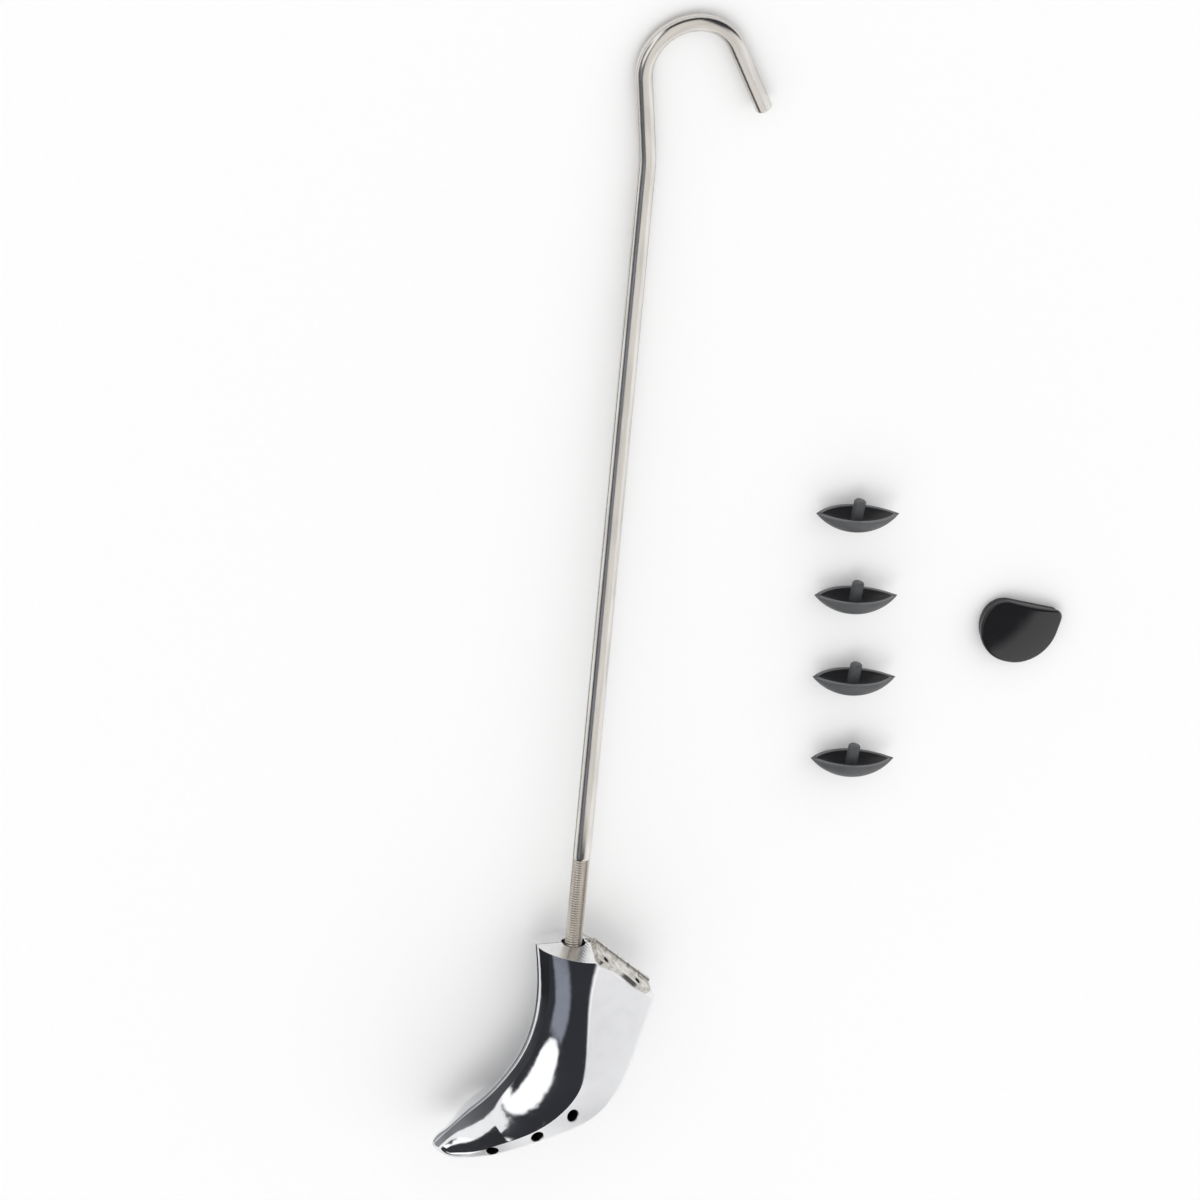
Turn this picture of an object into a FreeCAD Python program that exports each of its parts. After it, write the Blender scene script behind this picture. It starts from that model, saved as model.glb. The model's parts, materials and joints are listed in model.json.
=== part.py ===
import FreeCAD, Part
import math
import os

# x runs from the rod to the toe, y to the near side, z up the rod. The split plane is y = 0.
# Profile points are shares of LAST_LENGTH and widths are shares of BALL_HALF_WIDTH.
LAST_LENGTH = 150.0
BALL_HALF_WIDTH = 30.5

# One row for each cross section from the ankle top to the toe: ridge x and z, sole x and z, place of the
# crease between ridge and sole, half width at the crease, half width at the sole, edge radius, fullness
# beside the ridge, turn of the surface at the crease in degrees.
SECTION_SHARES = (
    (0.147, 0.000, -0.380, 0.000, 0.42, 0.69, 0.49, 0.13, 0.52, 0.0),
    (0.122, -0.211, -0.315, -0.225, 0.37, 0.67, 0.44, 0.13, 0.48, 4.0),
    (0.137, -0.374, -0.255, -0.448, 0.45, 0.72, 0.47, 0.13, 0.44, 6.0),
    (0.180, -0.489, -0.182, -0.596, 0.52, 0.85, 0.62, 0.13, 0.36, 14.0),
    (0.240, -0.576, -0.080, -0.671, 0.52, 0.97, 0.84, 0.13, 0.26, 34.0),
    (0.313, -0.650, 0.133, -0.736, 0.56, 0.99, 0.93, 0.13, 0.17, 52.0),
    (0.383, -0.708, 0.287, -0.797, 0.57, 0.77, 0.73, 0.11, 0.17, 58.0),
    (0.438, -0.758, 0.395, -0.830, 0.72, 0.48, 0.42, 0.09, 0.24, 46.0),
    (0.468, -0.785, 0.458, -0.828, 0.72, 0.25, 0.21, 0.05, 0.42, 24.0),
    (0.481, -0.800, 0.479, -0.818, 0.60, 0.08, 0.07, 0.02, 0.60, 6.0),
)
TOP_ROOF_DEG = 9.7
FLANK_FULLNESS_SHARE = 0.36
ARC_HANDLE_SHARE = 0.55

# Sloped heel face that carries the hinge, from the ankle top down to the heel corner.
SLOPE_TOP_SHARE = 0.063
SLOPE_FALL_DEG = 39.5
SLOPE_ROOF_DEG = 14.0

# Hook rod, one bar: plain shank, hook, threaded foot and the spigot below its shoulder.
ROD_R = 5.0
THREAD_UNDER = 0.15
THREAD_PITCH = 1.5
THREAD_TOP = 52.5
RUNOUT = 0.8
SHANK_TOP = 481.0
JOG_DEG = 7.5
JOG_R = 80.0
JOG_RUN = 46.0
HOOK_R = 27.8
HOOK_TURN_DEG = 161.5
HOOK_TAIL = 46.0
TIP_ROUND = 1.6
SHOULDER_DEPTH_SHARE = 0.307
SPIGOT_R = 3.5
SPIGOT_CHAMFER = 0.8

# Spreader cone with its washers and ring, and how far the rod drives it.
CONE_TOP_R = 9.0
CONE_LENGTH = 14.0
CONE_HALF_DEG = 10.0
CONE_CHAMFER = 0.6
WASHER_R = 6.6
WASHER_T = 1.5
END_WASHER_T = 1.0
RING_R = 5.2
RING_T = 1.0
RING_DEPTH = 0.8
RING_GAP_HALF_DEG = 35.0
FOOT_BELOW_RING = 2.0
DRIVE_TURNS = 13
SPIGOT_FIT = 0.06
AXIAL_FIT = 0.1

# Trunnion nut and its sockets.
NUT_DEPTH_SHARE = 0.12
NUT_R = 7.5
NUT_END_R = 6.7
NUT_HALF_LENGTH = 12.0
NUT_CHAMFER = 0.8
THREAD_FIT = 0.06
SOCKET_FIT = 0.35

# Rod slot, ramp chamber and lightening pocket in the split faces.
SLOT_HALF_X = 7.0
SLOT_FIT = 0.8
CHAMBER_FIT = 0.9
CHAMBER_HEAD = 3.0
CHAMBER_FOOT = 1.6
RAMP_FIT = 0.42
POCKET_SHARES = (
    (0.140, -0.590),
    (0.227, -0.648),
    (0.330, -0.736),
    (0.300, -0.752),
    (0.173, -0.702),
    (0.090, -0.668),
)
POCKET_DEPTH_SHARE = 0.29
POCKET_CORNER = 2.0

# Holes for the plug pegs in each side wall, drilled square to it: places in the profile.
PEG_HOLE_SHARES = (
    (0.307, -0.772),
    (0.151, -0.704),
    (0.012, -0.636),
)
PEG_R = 3.4
PEG_HOLE_FIT = 0.1
PEG_HOLE_DEPTH = 10.0
REACH_OUT = 20.0

# Heel hinge. The leaf's outer edge is given as shares of its length and widths from the split, the
# screws in the same way.
LEAF_T = 1.6
LEAF_LENGTH = 45.0
LEAF_START = 2.2
LEAF_EDGE = ((0.0, 18.8), (0.45, 12.0), (0.76, 14.3), (1.0, 10.4))
LEAF_EDGE_ROUNDS = (4.0, 16.0, 12.0, 4.0)
KNUCKLES = 5
KNUCKLE_R = 2.4
KNUCKLE_GAP = 0.35
KNUCKLE_LIFT = 0.4
HINGE_RISE = 0.4
PIN_R = 1.1
PIN_FIT = 0.06
PIN_OVERHANG = 0.5
SCREW_SPOTS = ((0.149, 12.3), (0.744, 9.65))
SCREW_HEAD_R = 3.1
SCREW_R = 1.75
SCREW_LENGTH = 11.0
SCREW_SINK = 1.4
SOCKET_ACROSS = 2.6
SOCKET_DEPTH = 1.3

# Plug: half of a spindle, hollow, with a peg.
PLUG_LENGTH = 50.0
PLUG_DEPTH = 10.8
PLUG_WALL = 2.2
PEG_RISE = 8.2
PEG_DOME = 0.9
PLUG_COUNT = 4
PLUG_FIRST_X = 147.6
PLUG_FIRST_Y = 250.3
PLUG_STEP_X = 4.5
PLUG_STEP_Y = -52.5
PLUG_TURN_DEG = -5.3

# Pad: domed cover on a base with a groove between.
PAD_WIDTH = 47.0
PAD_DEPTH = 36.0
PAD_CORNERS = (13.0, 5.6, 22.5, 22.5)
PAD_COVER_T = 6.4
PAD_CROWN_R = 75.0
PAD_EDGE_ROUND = 2.2
PAD_BASE_T = 4.6
PAD_BASE_INSET = 1.2
PAD_GROOVE = 0.9
PAD_GROOVE_DEPTH = 2.4
PAD_BASE_ROUND = 1.0
PAD_X = 253.0
PAD_Y = 162.0
PAD_TURN_DEG = -17.0

# Values that follow from the ones above.
SLOPE_TOP_X = -SLOPE_TOP_SHARE * LAST_LENGTH
SHOULDER_Z = -SHOULDER_DEPTH_SHARE * LAST_LENGTH
NUT_Z = -NUT_DEPTH_SHARE * LAST_LENGTH
CONE_TOP_Z = SHOULDER_Z - WASHER_T - AXIAL_FIT
CONE_FOOT_Z = CONE_TOP_Z - CONE_LENGTH
CONE_SLOPE = math.tan(math.radians(CONE_HALF_DEG))
RING_TOP_Z = CONE_FOOT_Z - AXIAL_FIT - END_WASHER_T
RING_FOOT_Z = RING_TOP_Z - RING_T
ROD_FOOT_Z = RING_FOOT_Z - FOOT_BELOW_RING
DRIVE = DRIVE_TURNS * THREAD_PITCH
CHAMBER_TOP_Z = SHOULDER_Z + CHAMBER_HEAD
CHAMBER_FOOT_Z = ROD_FOOT_Z - DRIVE - CHAMBER_FOOT
THREAD_R = ROD_R - THREAD_UNDER
PEG_HOLE_R = PEG_R + PEG_HOLE_FIT

UP = FreeCAD.Vector(0, 0, 1)
NEARWARD = FreeCAD.Vector(0, 1, 0)
TOEWARD = FreeCAD.Vector(1, 0, 0)
ZERO = FreeCAD.Vector(0, 0, 0)


def in_profile(x, z):
    return FreeCAD.Vector(x, 0, z)


def corner(before, here, after, radius):
    """Start, middle and end of the arc that rounds the corner here."""
    back = (before - here).normalize()
    ahead = (after - here).normalize()
    half = back.getAngle(ahead) / 2
    run = radius / math.tan(half)
    inward = (back + ahead).normalize()
    middle = here + inward * (radius / math.sin(half) - radius)
    return here + back * run, middle, here + ahead * run


def rounded(corners, radii):
    """Closed wire through flat corners, each one rounded by its own radius."""
    arcs = []
    count = len(corners)
    for i in range(count):
        arcs.append(corner(corners[i - 1], corners[i], corners[(i + 1) % count], radii[i]))
    edges = []
    for i in range(count):
        edges.append(Part.Arc(*arcs[i]).toShape())
        edges.append(Part.LineSegment(arcs[i][2], arcs[(i + 1) % count][0]).toShape())
    return Part.Wire(edges)


def turned(pairs):
    """Solid turned about the rod's axis from its radius and height pairs."""
    points = [in_profile(r, z) for r, z in pairs]
    return Part.Face(Part.makePolygon(points + points[:1])).revolve(ZERO, UP, 360)


def joined(shapes):
    whole = shapes[0].multiFuse(shapes[1:])
    return whole.removeSplitter()


def mirrored(shape):
    return shape.mirror(ZERO, NEARWARD)


def section_poles(row):
    """Control points of one half section: flank, side wall, rounded edge and sole, ridge to split."""
    rx, rz, sx, sz, crease_share, crease_w, sole_w, edge_r, full, turn = row
    ridge = in_profile(rx, rz) * LAST_LENGTH
    sole = in_profile(sx, sz) * LAST_LENGTH
    along = sole - ridge
    length = along.Length
    along.normalize()
    crease_c = crease_share * length
    crease_y = crease_w * BALL_HALF_WIDTH
    sole_y = sole_w * BALL_HALF_WIDTH

    def at(c, y):
        return ridge + along * c + NEARWARD * y

    arrive = math.atan2(sole_y - crease_y, length - crease_c) + math.radians(turn)
    reach = FLANK_FULLNESS_SHARE * crease_c
    crease = at(crease_c, crease_y)
    foot = at(length, sole_y)
    flank = [
        ridge,
        at(0, full * crease_y),
        at(crease_c - reach * math.cos(arrive), crease_y - reach * math.sin(arrive)),
        crease,
    ]
    start, middle, end = corner(crease, foot, sole, edge_r * BALL_HALF_WIDTH)
    edge = [start, start + (foot - start) * ARC_HANDLE_SHARE, end + (foot - end) * ARC_HANDLE_SHARE, end]
    return flank, [crease, start], edge, [end, sole], [sole, ridge]


def section_stations():
    """Distances between the sections, run up along the middle of the last."""
    runs = [0]
    middles = [in_profile(row[0] + row[2], row[1] + row[3]) * (LAST_LENGTH / 2) for row in SECTION_SHARES]
    for i in range(1, len(middles)):
        runs.append(runs[-1] + middles[i].distanceToPoint(middles[i - 1]))
    return runs


def skin_patch(pole_rows, stations):
    """Smooth patch whose control points run through those of every section."""
    curves = []
    for points in zip(*pole_rows):
        curve = Part.BSplineCurve()
        curve.interpolate(Points=list(points), Parameters=stations)
        curves.append(curve)
    degree = len(curves) - 1
    patch = Part.BSplineSurface()
    patch.buildFromPolesMultsKnots(
        [curve.getPoles() for curve in curves],
        [degree + 1, degree + 1],
        curves[0].getMultiplicities(),
        [0, 1],
        curves[0].getKnots(),
        False,
        False,
        degree,
        curves[0].Degree,
    )
    return patch.toShape()


def end_cap(sections):
    """Flat face across the last at one section."""
    edges = []
    for poles in sections:
        curve = Part.BezierCurve()
        curve.setPoles(poles)
        edges.append(curve.toShape())
    return Part.Face(Part.Wire(edges))


def last_blank():
    """Near half as cast, before the slope is milled and the split face is machined."""
    rows = [section_poles(row) for row in SECTION_SHARES]
    stations = section_stations()
    faces = [skin_patch(pole_rows, stations) for pole_rows in zip(*rows)]
    faces.append(end_cap(rows[0]))
    faces.append(end_cap(rows[-1]))
    shell = Part.Shell(faces)
    shell.sewShape()
    solid = Part.Solid(Part.Shell(shell.Faces))
    if solid.Volume < 0:
        solid.reverse()
    return solid


# Frame of the sloped heel face: down the slope, across to the near side, out of the face.
FALL = math.radians(SLOPE_FALL_DEG)
DOWN_SLOPE = FreeCAD.Vector(-math.cos(FALL), 0, -math.sin(FALL))
OUT_OF_SLOPE = FreeCAD.Vector(-math.sin(FALL), 0, math.cos(FALL))
ROOF = math.radians(SLOPE_ROOF_DEG)
ACROSS_SLOPE = NEARWARD * math.cos(ROOF) - OUT_OF_SLOPE * math.sin(ROOF)
OUT_OF_LEAF = OUT_OF_SLOPE * math.cos(ROOF) + NEARWARD * math.sin(ROOF)
SLOPE_TOP = in_profile(SLOPE_TOP_X, 0)
HINGE_AT = SLOPE_TOP + OUT_OF_SLOPE * HINGE_RISE


def on_slope(u, across, out):
    """Point on the near side of the roofed heel face."""
    return SLOPE_TOP + DOWN_SLOPE * u + ACROSS_SLOPE * across + OUT_OF_LEAF * out


def down_leaf(pairs):
    """Runs down the slope and distances from the split, from shares of the leaf's length."""
    return [(LEAF_START + share * LEAF_LENGTH, across) for share, across in pairs]


def screw_spots():
    return down_leaf(SCREW_SPOTS)


def face_cutter(corner_at, along, across, out):
    """Block on the outer side of a face milled on the near half."""
    side = LAST_LENGTH
    corners = []
    for a, b in ((-side, -side), (side, -side), (side, side), (-side, side)):
        corners.append(corner_at + along * a + across * b)
    return Part.Face(Part.makePolygon(corners + corners[:1])).extrude(out * side)


def slope_cutter():
    return face_cutter(SLOPE_TOP, DOWN_SLOPE, ACROSS_SLOPE, OUT_OF_LEAF)


def top_cutter():
    roof = math.radians(TOP_ROOF_DEG)
    across = FreeCAD.Vector(0, math.cos(roof), -math.sin(roof))
    out = FreeCAD.Vector(0, math.sin(roof), math.cos(roof))
    return face_cutter(ZERO, TOEWARD, across, out)


def rod_slot():
    """Slot for the rod from the ankle top down to the ramp chamber."""
    half_y = ROD_R + SLOT_FIT
    offset = SLOT_HALF_X - half_y
    height = -CHAMBER_TOP_Z
    shapes = []
    for x in (-offset, offset):
        shapes.append(Part.makeCylinder(half_y, height, in_profile(x, CHAMBER_TOP_Z), UP))
    middle = FreeCAD.Vector(-offset, -half_y, CHAMBER_TOP_Z)
    shapes.append(Part.makeBox(2 * offset, 2 * half_y, height, middle))
    return joined(shapes)


def ramp_y(z):
    """Half width of the ramp chamber at a height: the closed cone's own taper and a clearance."""
    return CONE_TOP_R + (z - CONE_TOP_Z) * CONE_SLOPE + RAMP_FIT


def ramp_chamber():
    """Chamber in both halves whose side faces are the ramps."""
    half_x = CONE_TOP_R + CHAMBER_FIT
    corners = []
    for side, z in ((1, CHAMBER_TOP_Z), (1, CHAMBER_FOOT_Z), (-1, CHAMBER_FOOT_Z), (-1, CHAMBER_TOP_Z)):
        corners.append(FreeCAD.Vector(-half_x, side * ramp_y(z), z))
    return Part.Face(Part.makePolygon(corners + corners[:1])).extrude(TOEWARD * 2 * half_x)


def nut_socket():
    radius = NUT_R + SOCKET_FIT
    length = NUT_HALF_LENGTH + SOCKET_FIT
    return Part.makeCylinder(radius, 2 * length, FreeCAD.Vector(0, -length, NUT_Z), NEARWARD)


def lightening_pocket():
    corners = [in_profile(x, z) * LAST_LENGTH for x, z in POCKET_SHARES]
    outline = rounded(corners, [POCKET_CORNER] * len(corners))
    return Part.Face(outline).extrude(NEARWARD * POCKET_DEPTH_SHARE * BALL_HALF_WIDTH)


def peg_spots():
    """Mouth of each peg hole on the near side wall and the way out of it."""
    wall = skin_patch([section_poles(row)[1] for row in SECTION_SHARES], section_stations())
    spots = []
    for x, z in PEG_HOLE_SHARES:
        inside = in_profile(x, z) * LAST_LENGTH
        sight = Part.makeLine(inside, inside + NEARWARD * 2 * BALL_HALF_WIDTH)
        mouth = wall.distToShape(sight)[1][0][0]
        out = wall.Surface.normal(*wall.Surface.parameter(mouth))
        if out.dot(NEARWARD) < 0:
            out = out * -1
        spots.append((mouth, out))
    return spots


def peg_holes():
    holes = []
    for mouth, out in peg_spots():
        floor = mouth - out * PEG_HOLE_DEPTH
        holes.append(Part.makeCylinder(PEG_HOLE_R, PEG_HOLE_DEPTH + REACH_OUT, floor, out))
    return holes


def barrel_groove():
    """Groove along the top of the split that lets the hinge barrel lie low."""
    radius = KNUCKLE_R + KNUCKLE_LIFT
    return Part.makeCylinder(radius, 2 * LAST_LENGTH, HINGE_AT - DOWN_SLOPE * LAST_LENGTH, DOWN_SLOPE)


def screw_holes():
    holes = []
    for u, y in screw_spots():
        depth = SCREW_LENGTH - LEAF_T
        holes.append(Part.makeCylinder(SCREW_R, depth + LEAF_T, on_slope(u, y, -depth), OUT_OF_LEAF))
    return holes


def last_half():
    cutters = [slope_cutter(), top_cutter(), barrel_groove(), rod_slot()]
    cutters = cutters + [ramp_chamber(), nut_socket(), lightening_pocket()]
    cutters = cutters + peg_holes() + screw_holes()
    half = last_blank()
    for cutter in cutters:
        half = half.cut(cutter)
    return half


def leaf_plate():
    """Plate of the near leaf: two lobes at the screws and a waist between them."""
    inner = KNUCKLE_R + KNUCKLE_LIFT
    outline = [on_slope(LEAF_START, inner, 0)]
    outline = outline + [on_slope(u, across, 0) for u, across in down_leaf(LEAF_EDGE)]
    outline = outline + [on_slope(LEAF_START + LEAF_LENGTH, inner, 0)]
    wire = rounded(outline, [PIN_OVERHANG, *LEAF_EDGE_ROUNDS, PIN_OVERHANG])
    return Part.Face(wire).extrude(OUT_OF_LEAF * LEAF_T)


def knuckle_spans(first):
    """Start and length of every second knuckle along the barrel."""
    pitch = LEAF_LENGTH / KNUCKLES
    spans = []
    for i in range(first, KNUCKLES, 2):
        spans.append((LEAF_START + i * pitch + KNUCKLE_GAP / 2, pitch - KNUCKLE_GAP))
    return spans


def hinge_leaf(first, bore_r):
    """Leaf on the near side with its own knuckles rolled round the pin."""
    solids = [leaf_plate()]
    inner = KNUCKLE_R + KNUCKLE_LIFT + PIN_OVERHANG
    for start, length in knuckle_spans(first):
        web = [
            on_slope(start, 0, 0),
            on_slope(start + length, 0, 0),
            on_slope(start + length, inner, 0),
            on_slope(start, inner, 0),
        ]
        foot = Part.Face(Part.makePolygon(web + web[:1]))
        solids.append(foot.extrude(OUT_OF_LEAF * LEAF_T))
        solids.append(Part.makeCylinder(KNUCKLE_R, length, HINGE_AT + DOWN_SLOPE * start, DOWN_SLOPE))
    leaf = joined(solids)
    bore = Part.makeCylinder(bore_r, 2 * LEAF_LENGTH, HINGE_AT - DOWN_SLOPE * LEAF_LENGTH / 2, DOWN_SLOPE)
    leaf = leaf.cut(bore)
    for u, y in screw_spots():
        leaf = leaf.cut(screw_blank(u, y))
    return leaf


def screw_blank(u, y):
    """Countersunk screw without its socket."""
    head_foot = on_slope(u, y, LEAF_T - SCREW_SINK)
    cone = Part.makeCone(SCREW_R, SCREW_HEAD_R, SCREW_SINK, head_foot, OUT_OF_LEAF)
    shank_length = SCREW_LENGTH - SCREW_SINK
    shank = Part.makeCylinder(SCREW_R, shank_length, head_foot - OUT_OF_LEAF * shank_length, OUT_OF_LEAF)
    return joined([shank, cone])


def leaf_screws():
    screws = []
    for u, y in screw_spots():
        across = SOCKET_ACROSS / math.sqrt(3)
        corners = []
        for i in range(6):
            angle = math.radians(60 * i)
            corners.append(
                on_slope(u + across * math.cos(angle), y + across * math.sin(angle), LEAF_T - SOCKET_DEPTH)
            )
        socket = Part.Face(Part.makePolygon(corners + corners[:1])).extrude(OUT_OF_LEAF * SCREW_SINK)
        screws.append(screw_blank(u, y).cut(socket))
    return screws


def hinge_pin():
    length = LEAF_LENGTH + 2 * PIN_OVERHANG
    pin = Part.makeCylinder(PIN_R, length, HINGE_AT + DOWN_SLOPE * (LEAF_START - PIN_OVERHANG), DOWN_SLOPE)
    ends = [edge for edge in pin.Edges if edge.isClosed()]
    return pin.makeChamfer(PIN_OVERHANG / 2, ends)


def rod_shank():
    """Straight part of the rod: spigot with its ring groove, threaded foot and plain bar."""
    foot_r = SPIGOT_R - SPIGOT_CHAMFER
    groove_r = SPIGOT_R - RING_DEPTH
    return turned(
        [
            (0, ROD_FOOT_Z),
            (foot_r, ROD_FOOT_Z),
            (SPIGOT_R, ROD_FOOT_Z + SPIGOT_CHAMFER),
            (SPIGOT_R, RING_FOOT_Z),
            (groove_r, RING_FOOT_Z),
            (groove_r, RING_TOP_Z),
            (SPIGOT_R, RING_TOP_Z),
            (SPIGOT_R, SHOULDER_Z),
            (THREAD_R, SHOULDER_Z),
            (THREAD_R, THREAD_TOP),
            (ROD_R, THREAD_TOP + RUNOUT),
            (ROD_R, SHANK_TOP),
            (0, SHANK_TOP),
        ]
    )


def rod_hook():
    """Upper end of the same bar, bent in the split plane."""
    heading = 0
    place = in_profile(0, SHANK_TOP)
    edges = []
    for radius, turn in ((JOG_R, -JOG_DEG), (JOG_RUN, None), (HOOK_R, HOOK_TURN_DEG), (HOOK_TAIL, None)):
        if turn is None:
            end = place + in_profile(-math.sin(heading), math.cos(heading)) * radius
            edges.append(Part.LineSegment(place, end).toShape())
        else:
            bend = math.radians(turn)
            side = math.copysign(radius, bend)
            centre = place + in_profile(-math.cos(heading), -math.sin(heading)) * side
            stops = []
            for share in (0.5, 1):
                angle = heading + bend * share
                stops.append(centre + in_profile(math.cos(angle), math.sin(angle)) * side)
            edges.append(Part.Arc(place, stops[0], stops[1]).toShape())
            end = stops[1]
            heading = heading + bend
        place = end
    round_bar = Part.Wire(Part.makeCircle(ROD_R, in_profile(0, SHANK_TOP), UP))
    hook = Part.Wire(edges).makePipeShell([round_bar], True, False)
    tip_edges = []
    for edge in hook.Edges:
        if edge.isClosed() and edge.CenterOfMass.distanceToPoint(place) < ROD_R / 2:
            tip_edges.append(edge)
    return hook.makeFillet(TIP_ROUND, tip_edges[:1])


def spreader_cone():
    foot_r = CONE_TOP_R - CONE_LENGTH * CONE_SLOPE
    bore_r = SPIGOT_R + SPIGOT_FIT
    return turned(
        [
            (bore_r, CONE_FOOT_Z),
            (foot_r - CONE_CHAMFER, CONE_FOOT_Z),
            (foot_r + CONE_CHAMFER * CONE_SLOPE, CONE_FOOT_Z + CONE_CHAMFER),
            (CONE_TOP_R - CONE_CHAMFER * CONE_SLOPE, CONE_TOP_Z - CONE_CHAMFER),
            (CONE_TOP_R - CONE_CHAMFER, CONE_TOP_Z),
            (bore_r, CONE_TOP_Z),
        ]
    )


def washer(outer_r, foot_z, thickness):
    inner_r = SPIGOT_R + SPIGOT_FIT
    top_z = foot_z + thickness
    return turned([(inner_r, foot_z), (outer_r, foot_z), (outer_r, top_z), (inner_r, top_z)])


def retaining_ring():
    inner_r = SPIGOT_R - RING_DEPTH
    points = [
        in_profile(inner_r, RING_FOOT_Z),
        in_profile(RING_R, RING_FOOT_Z),
        in_profile(RING_R, RING_TOP_Z),
        in_profile(inner_r, RING_TOP_Z),
    ]
    face = Part.Face(Part.makePolygon(points + points[:1]))
    face.rotate(ZERO, UP, RING_GAP_HALF_DEG)
    return face.revolve(ZERO, UP, 360 - 2 * RING_GAP_HALF_DEG)


def trunnion_nut():
    points = [
        FreeCAD.Vector(0, -NUT_HALF_LENGTH, NUT_Z),
        FreeCAD.Vector(NUT_END_R - NUT_CHAMFER, -NUT_HALF_LENGTH, NUT_Z),
        FreeCAD.Vector(NUT_END_R, NUT_CHAMFER - NUT_HALF_LENGTH, NUT_Z),
        FreeCAD.Vector(NUT_R, 0, NUT_Z),
        FreeCAD.Vector(NUT_END_R, NUT_HALF_LENGTH - NUT_CHAMFER, NUT_Z),
        FreeCAD.Vector(NUT_END_R - NUT_CHAMFER, NUT_HALF_LENGTH, NUT_Z),
        FreeCAD.Vector(0, NUT_HALF_LENGTH, NUT_Z),
    ]
    body = Part.Face(Part.makePolygon(points + points[:1])).revolve(in_profile(0, NUT_Z), NEARWARD, 360)
    foot = in_profile(0, NUT_Z - NUT_HALF_LENGTH)
    bore = Part.makeCylinder(THREAD_R + THREAD_FIT, 2 * NUT_HALF_LENGTH, foot, UP)
    return body.cut(bore)


def spindle_half(length, depth):
    """Half of a spindle below its flat: an arc turned half way round its own chord."""
    tip = length / 2
    arc = Part.Arc(in_profile(-tip, 0), in_profile(0, -depth), in_profile(tip, 0)).toShape()
    chord = Part.LineSegment(in_profile(tip, 0), in_profile(-tip, 0)).toShape()
    face = Part.Face(Part.Wire([arc, chord]))
    face.rotate(ZERO, TOEWARD, -90)
    return face.revolve(ZERO, TOEWARD, 180)


def plug():
    """Hollow half spindle with its peg, flat upward."""
    hull = spindle_half(PLUG_LENGTH, PLUG_DEPTH)
    sagitta_r = (PLUG_LENGTH ** 2 / 4 + PLUG_DEPTH ** 2) / (2 * PLUG_DEPTH)
    inner_depth = PLUG_DEPTH - PLUG_WALL
    inner_tip = math.sqrt((sagitta_r - PLUG_WALL) ** 2 - (sagitta_r - PLUG_DEPTH) ** 2)
    hollow = spindle_half(2 * inner_tip, inner_depth)
    floor = -inner_depth - PLUG_WALL / 2
    peg = Part.makeCylinder(PEG_R, PEG_RISE - floor, in_profile(0, floor), UP)
    tops = [edge for edge in peg.Edges if edge.isClosed() and edge.CenterOfMass.z > 0]
    peg = peg.makeFillet(PEG_DOME, tops)
    return joined([hull.cut(hollow), peg])


def pad_outline(inset):
    """D outline: straight back edge with two unlike corners and a round front."""
    half = PAD_WIDTH / 2 - inset
    back = PAD_DEPTH / 2 - inset
    corners = [
        FreeCAD.Vector(-half, back, 0),
        FreeCAD.Vector(half, back, 0),
        FreeCAD.Vector(half, -back, 0),
        FreeCAD.Vector(-half, -back, 0),
    ]
    return rounded(corners, [radius - inset for radius in PAD_CORNERS])


def pad_prism(inset, foot, height):
    prism = Part.Face(pad_outline(inset)).extrude(UP * height)
    prism.translate(UP * foot)
    return prism


def pad_base():
    foot = pad_prism(PAD_BASE_INSET, 0, PAD_BASE_T)
    low = [edge for edge in foot.Edges if edge.BoundBox.ZMax < PAD_BASE_ROUND]
    foot = foot.makeFillet(PAD_BASE_ROUND, low)
    neck = pad_prism(PAD_GROOVE_DEPTH, PAD_BASE_T, PAD_GROOVE)
    return joined([foot, neck])


def pad_cover():
    foot = PAD_BASE_T + PAD_GROOVE
    block = pad_prism(0, foot, PAD_COVER_T)
    crown = Part.makeSphere(PAD_CROWN_R, UP * (foot + PAD_COVER_T - PAD_CROWN_R))
    domed = block.common(crown)
    edges = []
    for edge in domed.Edges:
        if edge.BoundBox.ZMin > foot + PAD_COVER_T / 4:
            if edge.BoundBox.ZMax - edge.BoundBox.ZMin < PAD_COVER_T / 2:
                edges.append(edge)
    return domed.makeFillet(PAD_EDGE_ROUND, edges)


# The stretcher lies on its far side, hook and ball of the last on the table, loose pieces beside it.
# On the table X runs to the right, Y along the rod to the hook and Z up.
FACET = 0.05
TILT_STEPS = 40
LYING = FreeCAD.Rotation(
    FreeCAD.Vector(-1, 0, 0),
    FreeCAD.Vector(0, 0, 1),
    FreeCAD.Vector(0, 1, 0),
    "XYZ",
)


def corners_of(shape):
    return shape.tessellate(FACET)[0]


def tilted(tilt):
    """Turn from the stretcher's own axes to the table, nose of the hook lowered by the tilt."""
    return FreeCAD.Rotation(TOEWARD, -tilt).multiply(LYING)


def lowest(points, turn):
    return min(turn.multVec(point).z for point in points)


def resting_tilt(last_points, rod_points):
    """Tilt in degrees at which the last and the hook touch the table together."""
    low = 0
    high = 45
    for step in range(TILT_STEPS):
        middle = (low + high) / 2
        turn = tilted(middle)
        if lowest(rod_points, turn) > lowest(last_points, turn):
            low = middle
        else:
            high = middle
    return low


def moved(shape, placement):
    copy = shape.copy()
    copy.Placement = placement.multiply(copy.Placement)
    return copy


def one_solid(shape):
    return shape.Solids[0]


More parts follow.
